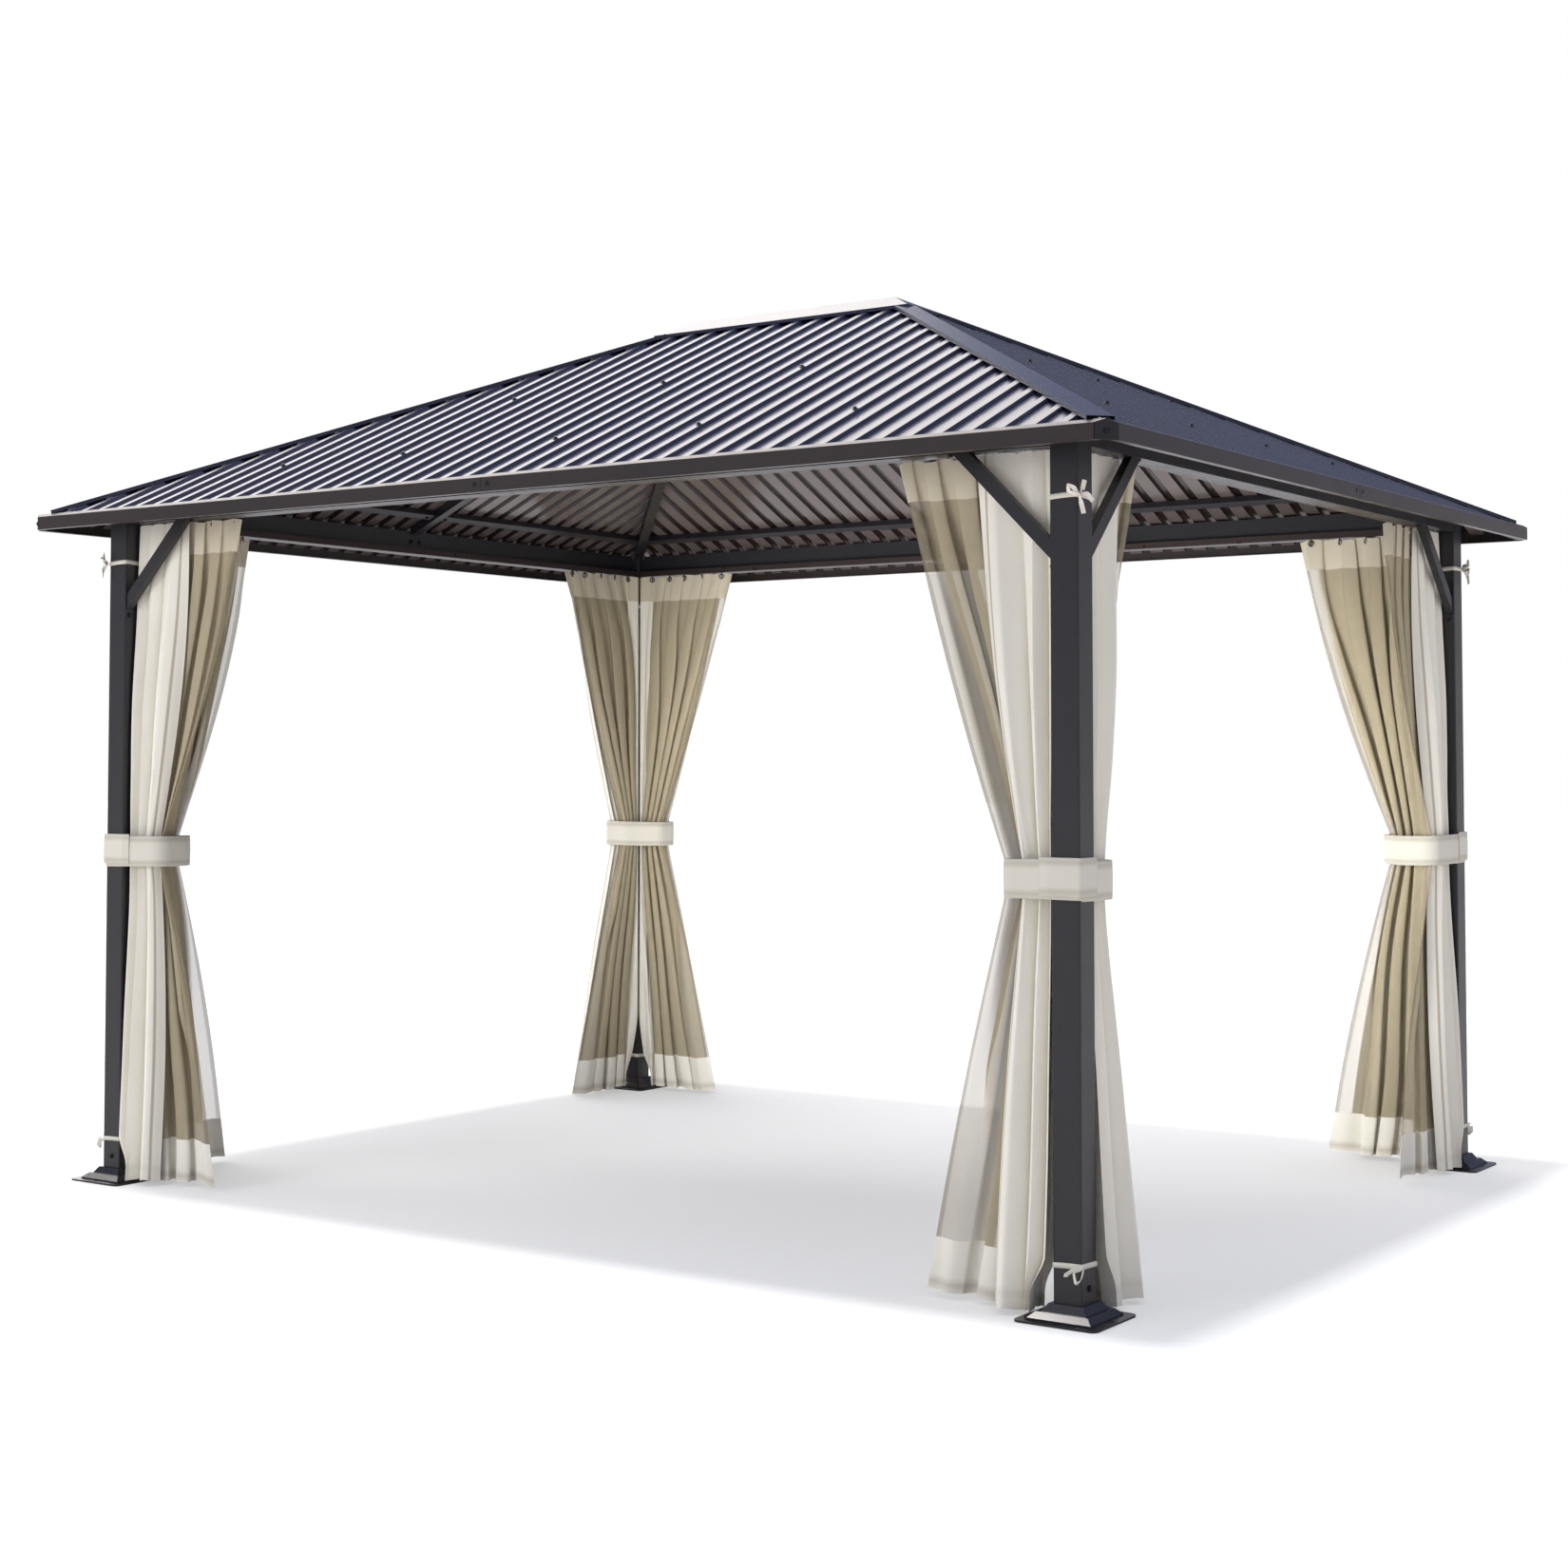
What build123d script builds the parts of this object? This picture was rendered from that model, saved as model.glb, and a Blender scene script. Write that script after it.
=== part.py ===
"""A metal garden gazebo: four posts, a hipped roof of ribbed steel sheets and tied-back curtains.

The long side runs along X and the front looks along -Y.  The origin is on the ground, at the
middle of the plan, and lengths are in millimetres.
"""

import os
from math import atan, cos, degrees, sin, sqrt

from build123d import *

# Overall form
eave_length = 3620
eave_depth = 2910
eave_top_height = 1985
ridge_top_height = 2650
eave_overhang = 203
seat_gap = 0.2
cut_overrun = 20

# Posts and feet
post_width = 72
post_wall = 2
post_corner_radius = 4
post_head_rise = 15.5
foot_plate_width = 210
foot_plate_thickness = 5
foot_plate_corner_radius = 18
foot_bolt_circle_diameter = 184
foot_bolt_hole_diameter = 10
foot_bolts_per_plate = 4
foot_cover_width = 160
foot_cover_ledge_width = 130
foot_cover_step_width = 112
foot_cover_top_width = 88
foot_cover_height = 33
foot_cover_step_height = 16
foot_cover_edge_height = 3
foot_cover_clearance = 0.3

# Eave beams, curtain rails and braces
beam_width = 40
beam_height = 80
beam_wall = 1.5
beam_roof_gap = 1
rail_width = 28
rail_height = 20
rail_wall = 2
rail_slot_width = 4
brace_leg = 258
brace_face_width = 32
brace_depth = 22
brace_wall = 1.5
brace_setback = 5

# Roof framing
rafter_width = 35
rafter_height = 30
rafter_wall = 1.5
purlin_width = 30
purlin_height = 22
purlin_wall = 1.2
lower_purlin_inset = 300
upper_purlin_inset = 770
ridge_beam_width = 40
ridge_beam_height = 34

# Ribbed roof sheets
sheet_thickness = 0.6
rib_pitch = 80
rib_height = 9.5
rib_crest_width = 22
rib_side_run = 5
sheet_eave_gap = 2
sheet_hip_gap = 4
sheet_ridge_gap = 30

# Folded roof trims
trim_thickness = 1.2
fascia_height = 38
fascia_top_lip = 24
fascia_bottom_lip = 18
corner_cut = 41
corner_cap_thickness = 2
hip_cap_width = 66
ridge_cap_reach = 115
ridge_cap_lift = 9

# Curtains, tied back at each post
curtain_top_near = 46
curtain_top_far = 452
curtain_thickness = 44
curtain_tie_width = 118
curtain_tie_depth = 100
curtain_tie_along = 124
curtain_tie_inward = 34
curtain_hem_near = 116
curtain_hem_far = 356
curtain_hem_depth = 108
curtain_hem_inward = 26
curtain_floor_gap = 15
curtain_hang_gap = 0.3
curtain_round_share = 0.45
tie_band_middle_height = 980
tie_band_height = 90
tie_band_thickness = 3
tie_band_clearance = 0.3

# Places that follow from the sizes above
eave_x = eave_length / 2
eave_y = eave_depth / 2
post_x = eave_x - eave_overhang
post_y = eave_y - eave_overhang
pitch_rise_share = (ridge_top_height - ridge_cap_lift - eave_top_height) / eave_y
pitch = atan(pitch_rise_share)
hip_fall_share = sin(pitch) / sqrt(1 + cos(pitch) ** 2)
hip_rise_share = pitch_rise_share / sqrt(2)
hip_pitch = atan(hip_rise_share)

crest_eave_height = eave_top_height - (trim_thickness + seat_gap) / cos(pitch)
frame_eave_height = crest_eave_height - (rib_height + sheet_thickness) / cos(pitch)
frame_ridge_height = frame_eave_height + eave_y * pitch_rise_share
crest_ridge_height = crest_eave_height + eave_y * pitch_rise_share
hip_plan_length = eave_y * sqrt(2)
hip_length = hip_plan_length / cos(hip_pitch)
ridge_half_length = eave_x - eave_y

beam_inset = eave_overhang - post_width / 2
roof_over_post_height = frame_eave_height + beam_inset * pitch_rise_share
beam_underside_height = roof_over_post_height - beam_roof_gap - beam_height
rafter_top = -rafter_width / 2 * hip_fall_share - seat_gap
rafter_underside = rafter_top - rafter_height - seat_gap
post_height = roof_over_post_height + rafter_underside / cos(hip_pitch) - post_head_rise
beam_inner_inset = beam_inset + beam_width
rail_inset = beam_inner_inset + seat_gap + rail_width / 2
rail_underside_height = beam_underside_height
fascia_bottom_height = eave_top_height - fascia_height

side_plans = {
    "front": Plane(origin=(0, -eave_y, 0), x_dir=(1, 0, 0), z_dir=(0, 0, 1)),
    "right": Plane(origin=(eave_x, 0, 0), x_dir=(0, 1, 0), z_dir=(0, 0, 1)),
    "back": Plane(origin=(0, eave_y, 0), x_dir=(-1, 0, 0), z_dir=(0, 0, 1)),
    "left": Plane(origin=(-eave_x, 0, 0), x_dir=(0, -1, 0), z_dir=(0, 0, 1)),
}
half_eaves = {"front": eave_x, "right": eave_y, "back": eave_x, "left": eave_y}
corner_signs = {
    "front_left": (-1, -1),
    "front_right": (1, -1),
    "back_right": (1, 1),
    "back_left": (-1, 1),
}
post_places = [(x * post_x, y * post_y) for x, y in corner_signs.values()]


def section_plane(side):
    """The plane across a roof side: inward along its x, up along its y, at the middle of the eave."""
    plan = side_plans[side]
    return Plane(origin=plan.origin, x_dir=plan.y_dir, z_dir=plan.x_dir)


def elevation_plane(side, inset):
    """The upright plane along a roof side, an inset in from its eave, looking outward."""
    plan = side_plans[side]
    return Plane(origin=plan.origin + plan.y_dir * inset, x_dir=plan.x_dir, z_dir=plan.y_dir * -1)


def slope_plane(side):
    """The plane square to a roof side's slope, at the ridge, whose normal runs down the slope."""
    plan = side_plans[side]
    ridge_point = plan.origin + plan.y_dir * eave_y + Vector(0, 0, frame_ridge_height)
    down_slope = plan.y_dir * -cos(pitch) - Vector(0, 0, sin(pitch))
    return Plane(origin=ridge_point, x_dir=plan.x_dir, z_dir=down_slope)


def hip_plane(corner, eave_height):
    """The plane square to a hip, at its eave corner, whose normal runs up the hip."""
    x, y = corner_signs[corner]
    return Plane(
        origin=(x * eave_x, y * eave_y, eave_height),
        x_dir=(y, -x, 0),
        z_dir=(-x, -y, pitch_rise_share),
    )


def frame_height(inset):
    """The height of the framing's top face at a plan distance in from the eave."""
    return frame_eave_height + inset * pitch_rise_share


def hip_wedge(side, near, far, gap):
    """The plan of a roof side between two insets, kept back from both hips by a gap."""
    near_half = half_eaves[side] - near - gap * sqrt(2)
    far_half = half_eaves[side] - far - gap * sqrt(2)
    return [(-near_half, near), (near_half, near), (far_half, far), (-far_half, far)]


def eave_wedge(side, near, far, hip_gap, cut_gap):
    """The plan of a roof side from its eave up, kept back from its hips and its cut corners."""
    half_eave = half_eaves[side]
    hip_back = hip_gap * sqrt(2)
    cut_back = cut_gap * sqrt(2)
    turn = (corner_cut + cut_back - hip_back) / 2
    right_edge = [
        (half_eave - corner_cut + near - cut_back, near),
        (half_eave - turn - hip_back, turn),
        (half_eave - far - hip_back, far),
    ]
    left_edge = [(-along, inset) for along, inset in reversed(right_edge)]
    return right_edge + left_edge


def corner_plan(corner, inner_x, inner_y, outer_cut, outer_inset=0):
    """The plan of one corner of the roof, cut across at the eave, away from the middle planes."""
    x, y = corner_signs[corner]
    outer_x = eave_x - outer_inset
    outer_y = eave_y - outer_inset
    outline = [
        (inner_x, inner_y),
        (outer_x, inner_y),
        (outer_x, outer_y - outer_cut),
        (outer_x - outer_cut, outer_y),
        (inner_x, outer_y),
    ]
    return [(x * across, y * along) for across, along in outline]


def sheet_outline(half_width):
    """The section of a ribbed sheet: flat pans with trapezoid ribs at an even pitch."""
    rib_half = rib_crest_width / 2
    foot_half = rib_half + rib_side_run
    rib_reach = int((half_width - foot_half) // rib_pitch)
    under = [(-half_width, 0)]
    for rib in range(-rib_reach, rib_reach + 1):
        middle = rib * rib_pitch
        under += [
            (middle - foot_half, 0),
            (middle - rib_half, rib_height),
            (middle + rib_half, rib_height),
            (middle + foot_half, 0),
        ]
    under.append((half_width, 0))
    over = [(across, up + sheet_thickness) for across, up in reversed(under)]
    return under + over


def save(part, name):
    """Name a finished piece and write it."""
    part.label = name
    export_step(part, f"parts/{name}.step")


os.makedirs("parts", exist_ok=True)

# Posts: square tubes on the foot plates
for corner, (x, y) in corner_signs.items():
    with BuildPart() as post:
        with BuildSketch(Plane.XY.offset(foot_plate_thickness)):
            with Locations((x * post_x, y * post_y)):
                RectangleRounded(post_width, post_width, post_corner_radius)
                Rectangle(post_width - 2 * post_wall, post_width - 2 * post_wall, mode=Mode.SUBTRACT)
        extrude(amount=post_height - foot_plate_thickness)
    save(post.part, f"{corner}_post")

# Foot plates with four anchor holes each
with BuildPart() as foot_plates:
    with BuildSketch():
        with Locations(*post_places):
            RectangleRounded(foot_plate_width, foot_plate_width, foot_plate_corner_radius)
            with PolarLocations(foot_bolt_circle_diameter / 2, foot_bolts_per_plate):
                Circle(foot_bolt_hole_diameter / 2, mode=Mode.SUBTRACT)
    extrude(amount=foot_plate_thickness)
save(foot_plates.part, "foot_plates")

# Foot covers: two bevelled steps round each post
cover_edge_top = foot_plate_thickness + foot_cover_edge_height
cover_step_top = foot_plate_thickness + foot_cover_step_height
cover_top = foot_plate_thickness + foot_cover_height
cover_opening = post_width + 2 * foot_cover_clearance
foot_cover_list = []
for place in post_places:
    with BuildPart() as foot_cover:
        with BuildSketch(Plane.XY.offset(foot_plate_thickness)):
            with Locations(place):
                Rectangle(foot_cover_width, foot_cover_width)
        extrude(amount=foot_cover_edge_height)
        with BuildSketch(Plane.XY.offset(cover_edge_top)):
            with Locations(place):
                Rectangle(foot_cover_width, foot_cover_width)
        with BuildSketch(Plane.XY.offset(cover_step_top)):
            with Locations(place):
                Rectangle(foot_cover_ledge_width, foot_cover_ledge_width)
        loft()
        with BuildSketch(Plane.XY.offset(cover_step_top)):
            with Locations(place):
                Rectangle(foot_cover_step_width, foot_cover_step_width)
        with BuildSketch(Plane.XY.offset(cover_top)):
            with Locations(place):
                Rectangle(foot_cover_top_width, foot_cover_top_width)
        loft()
        with BuildSketch(Plane.XY.offset(foot_plate_thickness)):
            with Locations(place):
                RectangleRounded(cover_opening, cover_opening, post_corner_radius)
        extrude(amount=foot_cover_height + cut_overrun, mode=Mode.SUBTRACT)
    foot_cover_list.append(foot_cover.part)
with BuildPart() as foot_covers:
    add(foot_cover_list)
save(foot_covers.part, "foot_covers")

# Eave beams: box tubes between the posts, flush with their outer faces
for side in side_plans:
    beam_half_length = half_eaves[side] - eave_overhang - post_width / 2
    beam_middle = (beam_inset + beam_width / 2, beam_underside_height + beam_height / 2)
    with BuildPart() as beam:
        with BuildSketch(section_plane(side)):
            with Locations(beam_middle):
                Rectangle(beam_width, beam_height)
                Rectangle(beam_width - 2 * beam_wall, beam_height - 2 * beam_wall, mode=Mode.SUBTRACT)
        extrude(amount=beam_half_length, both=True)
    save(beam.part, f"{side}_beam")

# Curtain rails: double slotted tracks along the inner faces of the beams
rail_lane_width = (rail_width - 3 * rail_wall) / 2
rail_lane_height = rail_height - 2 * rail_wall
rail_lane_spacing = rail_lane_width + rail_wall
rail_list = []
for side in side_plans:
    rail_half_length = half_eaves[side] - eave_overhang - post_width / 2 - seat_gap
    with BuildPart() as rail:
        with BuildSketch(section_plane(side)):
            with Locations((rail_inset, rail_underside_height + rail_height / 2)):
                Rectangle(rail_width, rail_height)
                with GridLocations(rail_lane_spacing, rail_height, 2, 1):
                    Rectangle(rail_lane_width, rail_lane_height, mode=Mode.SUBTRACT)
            with Locations((rail_inset, rail_underside_height)):
                with GridLocations(rail_lane_spacing, rail_height, 2, 1):
                    Rectangle(rail_slot_width, rail_height, mode=Mode.SUBTRACT)
        extrude(amount=rail_half_length, both=True)
    rail_list.append(rail.part)
with BuildPart() as curtain_rails:
    add(rail_list)
save(curtain_rails.part, "curtain_rails")

# Knee braces: slanted tubes from each post to the two beams beside it
brace_inset = beam_inset + brace_setback
brace_list = []
for side in side_plans:
    post_face = half_eaves[side] - eave_overhang - post_width / 2 - seat_gap
    beam_face = beam_underside_height - seat_gap
    for end in (-1, 1):
        with BuildPart() as brace:
            with BuildSketch(elevation_plane(side, brace_inset)):
                with BuildLine():
                    Polyline(
                        (end * (post_face - brace_leg), beam_face),
                        (end * post_face, beam_face - brace_leg),
                        (end * post_face, beam_face - brace_leg + brace_face_width * sqrt(2)),
                        (end * (post_face - brace_leg + brace_face_width * sqrt(2)), beam_face),
                        close=True,
                    )
                make_face()
            extrude(amount=-brace_depth)
            with BuildSketch(elevation_plane(side, brace_inset + brace_wall)):
                core_leg = brace_leg - brace_wall * sqrt(2)
                core_width = brace_face_width - 2 * brace_wall
                with BuildLine():
                    Polyline(
                        (end * (post_face - core_leg), beam_face),
                        (end * post_face, beam_face - core_leg),
                        (end * post_face, beam_face - core_leg + core_width * sqrt(2)),
                        (end * (post_face - core_leg + core_width * sqrt(2)), beam_face),
                        close=True,
                    )
                make_face()
            extrude(amount=-(brace_depth - 2 * brace_wall), mode=Mode.SUBTRACT)
        brace_list.append(brace.part)
with BuildPart() as knee_braces:
    add(brace_list)
save(knee_braces.part, "knee_braces")

# Hip rafters: tubes under the hips, cut level over the fascia's lower lip
rafter_tail_height = fascia_bottom_height + trim_thickness + seat_gap
for corner in corner_signs:
    with BuildPart() as hip_rafter:
        with BuildSketch(hip_plane(corner, frame_eave_height).offset(-cut_overrun)):
            with Locations((0, rafter_top - rafter_height / 2)):
                Rectangle(rafter_width, rafter_height)
                Rectangle(rafter_width - 2 * rafter_wall, rafter_height - 2 * rafter_wall, mode=Mode.SUBTRACT)
        extrude(amount=hip_length + 2 * cut_overrun)
        with BuildSketch(Plane.XY.offset(rafter_tail_height)):
            with BuildLine():
                Polyline(*corner_plan(corner, ridge_half_length - rafter_width, seat_gap, corner_cut), close=True)
            make_face()
        extrude(amount=ridge_top_height, mode=Mode.INTERSECT)
    save(hip_rafter.part, f"{corner}_hip_rafter")

# Post heads: blocks that carry the hip rafters on the posts
head_list = []
for corner, (x, y) in corner_signs.items():
    rafter_plane = hip_plane(corner, frame_eave_height)
    with BuildPart() as head:
        with BuildSketch(Plane.XY.offset(post_height)):
            with Locations((x * post_x, y * post_y)):
                RectangleRounded(post_width, post_width, post_corner_radius)
        extrude(amount=rafter_height + beam_height)
        with BuildSketch(rafter_plane):
            with Locations((0, rafter_underside)):
                Rectangle(2 * eave_overhang, ridge_top_height, align=(Align.CENTER, Align.MIN))
        extrude(amount=hip_length, mode=Mode.SUBTRACT)
    head_list.append(head.part)
with BuildPart() as post_heads:
    add(head_list)
save(post_heads.part, "post_heads")

# Middle rafters: from the middle of each beam up to the hips' meeting points or the ridge beam
middle_rafter_list = []
for side in side_plans:
    on_long_side = half_eaves[side] > eave_y
    ridge_clear = ridge_beam_width / 2 if on_long_side else rafter_width / 2 + rafter_width / sqrt(2)
    rafter_far = eave_y - ridge_clear - seat_gap
    with BuildPart() as middle_rafter:
        with BuildSketch(slope_plane(side)):
            with Locations((0, -seat_gap - rafter_height / 2)):
                Rectangle(rafter_width, rafter_height)
                Rectangle(rafter_width - 2 * rafter_wall, rafter_height - 2 * rafter_wall, mode=Mode.SUBTRACT)
        extrude(amount=eave_y / cos(pitch))
        with BuildSketch(side_plans[side]):
            with Locations((0, (beam_inner_inset + seat_gap + rafter_far) / 2)):
                Rectangle(rafter_width + 2 * cut_overrun, rafter_far - beam_inner_inset - seat_gap)
        extrude(amount=ridge_top_height, mode=Mode.INTERSECT)
    middle_rafter_list.append(middle_rafter.part)
with BuildPart() as middle_rafters:
    add(middle_rafter_list)
save(middle_rafters.part, "middle_rafters")

# Purlins: two rings of tubes under the sheets, between the hip rafters and the middle rafters
for ring, inset in {"lower": lower_purlin_inset, "upper": upper_purlin_inset}.items():
    purlin_list = []
    for side in side_plans:
        drop = seat_gap + purlin_height / 2
        middle = (inset + drop * sin(pitch), frame_height(inset) - drop * cos(pitch))
        wedge = hip_wedge(side, inset - purlin_width, inset + purlin_width, rafter_width / 2 + seat_gap)
        with BuildPart() as purlin:
            with BuildSketch(section_plane(side)):
                with Locations(Location(middle, degrees(pitch))):
                    Rectangle(purlin_width, purlin_height)
                    Rectangle(
                        purlin_width - 2 * purlin_wall,
                        purlin_height - 2 * purlin_wall,
                        mode=Mode.SUBTRACT,
                    )
            extrude(amount=half_eaves[side], both=True)
            with BuildSketch(side_plans[side]):
                with BuildLine():
                    Polyline(*wedge, close=True)
                make_face()
                with Locations((0, inset)):
                    Rectangle(rafter_width + 2 * seat_gap, 3 * purlin_width, mode=Mode.SUBTRACT)
            extrude(amount=ridge_top_height, mode=Mode.INTERSECT)
        purlin_list.append(purlin.part)
    with BuildPart() as purlins:
        add(purlin_list)
    save(purlins.part, f"{ring}_purlins")

# Ridge beam, between the upper ends of the hip rafters
ridge_beam_top = frame_ridge_height - ridge_beam_width / 2 * pitch_rise_share - seat_gap
ridge_beam_half_length = ridge_half_length - rafter_width / sqrt(2) - seat_gap
with BuildPart() as ridge_beam:
    with BuildSketch(Plane.YZ):
        with Locations((0, ridge_beam_top - ridge_beam_height / 2)):
            Rectangle(ridge_beam_width, ridge_beam_height)
            Rectangle(
                ridge_beam_width - 2 * rafter_wall,
                ridge_beam_height - 2 * rafter_wall,
                mode=Mode.SUBTRACT,
            )
    extrude(amount=ridge_beam_half_length, both=True)
save(ridge_beam.part, "ridge_beam")

# Roof sheets: ribbed steel, each cut to its hips in one piece
for side in side_plans:
    sheet_near = trim_thickness + sheet_eave_gap
    wedge = eave_wedge(side, sheet_near, eave_y - sheet_ridge_gap, sheet_hip_gap, seat_gap)
    with BuildPart() as roof_sheet:
        with BuildSketch(slope_plane(side)):
            with BuildLine():
                Polyline(*sheet_outline(half_eaves[side]), close=True)
            make_face()
        extrude(amount=eave_y / cos(pitch))
        with BuildSketch(side_plans[side]):
            with BuildLine():
                Polyline(*wedge, close=True)
            make_face()
        extrude(amount=ridge_top_height, mode=Mode.INTERSECT)
    save(roof_sheet.part, f"{side}_roof_sheet")

# Fascias: folded edge trims that close the eaves, cut across at the corners
lip_drop = trim_thickness / cos(pitch)
for side in side_plans:
    with BuildPart() as fascia:
        with BuildSketch(section_plane(side)):
            with BuildLine():
                Polyline(
                    (0, fascia_bottom_height),
                    (0, eave_top_height),
                    (fascia_top_lip, eave_top_height + fascia_top_lip * pitch_rise_share),
                    (fascia_top_lip, eave_top_height + fascia_top_lip * pitch_rise_share - lip_drop),
                    (trim_thickness, eave_top_height + trim_thickness * pitch_rise_share - lip_drop),
                    (trim_thickness, fascia_bottom_height + trim_thickness),
                    (fascia_bottom_lip, fascia_bottom_height + trim_thickness),
                    (fascia_bottom_lip, fascia_bottom_height),
                    close=True,
                )
            make_face()
        extrude(amount=half_eaves[side], both=True)
        with BuildSketch(side_plans[side]):
            with BuildLine():
                Polyline(*eave_wedge(side, 0, corner_cut, seat_gap, 0), close=True)
            make_face()
        extrude(amount=ridge_top_height, mode=Mode.INTERSECT)
    save(fascia.part, f"{side}_fascia")

# Corner caps: five-sided plates across the cut corners of the eave
cap_half_width = corner_cut / sqrt(2) - seat_gap - corner_cap_thickness
cap_peak_height = eave_top_height + corner_cut / 2 * pitch_rise_share
corner_cap_list = []
for x, y in corner_signs.values():
    cap_plane = Plane(
        origin=(x * (eave_x - corner_cut / 2), y * (eave_y - corner_cut / 2), 0),
        x_dir=(-y, x, 0),
        z_dir=(x, y, 0),
    )
    with BuildPart() as corner_cap:
        with BuildSketch(cap_plane.offset(seat_gap)):
            with BuildLine():
                Polyline(
                    (-cap_half_width, fascia_bottom_height),
                    (cap_half_width, fascia_bottom_height),
                    (cap_half_width, eave_top_height),
                    (0, cap_peak_height),
                    (-cap_half_width, eave_top_height),
                    close=True,
                )
            make_face()
        extrude(amount=corner_cap_thickness)
    corner_cap_list.append(corner_cap.part)
with BuildPart() as corner_caps:
    add(corner_cap_list)
save(corner_caps.part, "corner_caps")

# Hip caps: flat strips over the hips, with edges turned down to the ribs, up to the ridge cap
hip_cap_half = hip_cap_width / 2
hip_cap_inner = hip_cap_half - trim_thickness
hip_cap_fall = hip_cap_inner * hip_fall_share
for corner in corner_signs:
    hip_section = hip_plane(corner, crest_eave_height + seat_gap / cos(pitch))
    plan = corner_plan(corner, ridge_half_length, seat_gap, corner_cut, fascia_top_lip + seat_gap)
    with BuildPart() as hip_cap:
        with BuildSketch(hip_section.offset(-cut_overrun)):
            with BuildLine():
                Polyline(
                    (-hip_cap_half, -hip_cap_fall),
                    (-hip_cap_inner, -hip_cap_fall),
                    (-hip_cap_inner, 0),
                    (hip_cap_inner, 0),
                    (hip_cap_inner, -hip_cap_fall),
                    (hip_cap_half, -hip_cap_fall),
                    (hip_cap_half, trim_thickness),
                    (-hip_cap_half, trim_thickness),
                    close=True,
                )
            make_face()
        extrude(amount=hip_length + 2 * cut_overrun)
        with BuildSketch():
            with BuildLine():
                Polyline(*plan, close=True)
            make_face()
            Rectangle(
                2 * (ridge_half_length + ridge_cap_reach + seat_gap),
                2 * (ridge_cap_reach + seat_gap),
                mode=Mode.SUBTRACT,
            )
        extrude(amount=ridge_top_height + cut_overrun, mode=Mode.INTERSECT)
    save(hip_cap.part, f"{corner}_hip_cap")

# Ridge cap: a small hipped hood over the top of the sheets, with edges turned down to the ribs
hood_inner_reach = ridge_cap_reach - trim_thickness
hood_foot = crest_ridge_height - hood_inner_reach * pitch_rise_share + seat_gap / cos(pitch)
hood_list = []
for reach, hood_top, foot in (
    (ridge_cap_reach, ridge_top_height, hood_foot),
    (hood_inner_reach, ridge_top_height - lip_drop, hood_foot - cut_overrun),
):
    hood_eave = hood_top - reach * pitch_rise_share
    half_length = ridge_half_length + reach
    with BuildPart() as hood:
        with BuildSketch(Plane.YZ):
            with BuildLine():
                Polyline((-reach, foot), (reach, foot), (reach, hood_eave), (0, hood_top), (-reach, hood_eave), close=True)
            make_face()
        extrude(amount=half_length, both=True)
        with BuildSketch(Plane.XZ):
            with BuildLine():
                Polyline(
                    (-half_length, foot),
                    (half_length, foot),
                    (half_length, hood_eave),
                    (ridge_half_length, hood_top),
                    (-ridge_half_length, hood_top),
                    (-half_length, hood_eave),
                    close=True,
                )
            make_face()
        extrude(amount=reach, both=True, mode=Mode.INTERSECT)
    hood_list.append(hood.part)
with BuildPart() as ridge_cap:
    add(hood_list[0])
    add(hood_list[1], mode=Mode.SUBTRACT)
save(ridge_cap.part, "ridge_cap")

# Curtains: two at each post, gathered to it by a tie band
tie_band_bottom = tie_band_middle_height - tie_band_height / 2
tie_band_top = tie_band_middle_height + tie_band_height / 2
curtain_top_middle = (curtain_top_near + curtain_top_far) / 2
curtain_top_length = curtain_top_far - curtain_top_near
curtain_hem_middle = (curtain_hem_near + curtain_hem_far) / 2
curtain_hem_length = curtain_hem_far - curtain_hem_near
curtain_rail_inward = rail_inset - eave_overhang
top_row = (curtain_top_middle, curtain_rail_inward, curtain_top_length, curtain_thickness)
tie_row = (curtain_tie_along, curtain_tie_inward, curtain_tie_width, curtain_tie_depth)
hem_row = (curtain_hem_middle, curtain_hem_inward, curtain_hem_length, curtain_hem_depth)
curtain_rows = {
    rail_underside_height - curtain_hang_gap: top_row,
    tie_band_top: tie_row,
    tie_band_bottom: tie_row,
    curtain_floor_gap: hem_row,
}


def curtain_place(corner, run, along, inward):
    """Where a point beside a post lies, for the curtain on the long or the short run of rail."""
    x, y = corner_signs[corner]
    if run == "long":
        return Location((x * (post_x - along), y * (post_y - inward)))
    return Location((x * (post_x - inward), y * (post_y - along)), 90)


for corner in corner_signs:
    for run in ("long", "short"):
        with BuildPart() as curtain:
            for height, (along, inward, length, depth) in curtain_rows.items():
                with BuildSketch(Plane.XY.offset(height)):
                    with Locations(curtain_place(corner, run, along, inward)):
                        RectangleRounded(length, depth, curtain_round_share * min(length, depth))
            loft(ruled=True)
        save(curtain.part, f"{corner}_{run}_curtain")

# Tie bands: fabric loops round each post and its two gathered curtains
band_post_reach = post_width / 2 + tie_band_clearance
band_far_reach = curtain_tie_along + curtain_tie_width / 2 + tie_band_clearance
band_low_reach = curtain_tie_inward - curtain_tie_depth / 2 - tie_band_clearance
band_high_reach = curtain_tie_inward + curtain_tie_depth / 2 + tie_band_clearance
band_post_radius = post_corner_radius + tie_band_clearance
band_lobe_radius = curtain_round_share * min(curtain_tie_width, curtain_tie_depth)
band_outline = {
    (-band_post_reach, -band_post_reach): band_post_radius,
    (band_post_reach, -band_post_reach): band_post_radius,
    (band_far_reach, band_low_reach): band_lobe_radius,
    (band_far_reach, band_high_reach): band_lobe_radius,
    (band_high_reach, band_far_reach): band_lobe_radius,
    (band_low_reach, band_far_reach): band_lobe_radius,
    (-band_post_reach, band_post_reach): band_post_radius,
}
band_list = []
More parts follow.
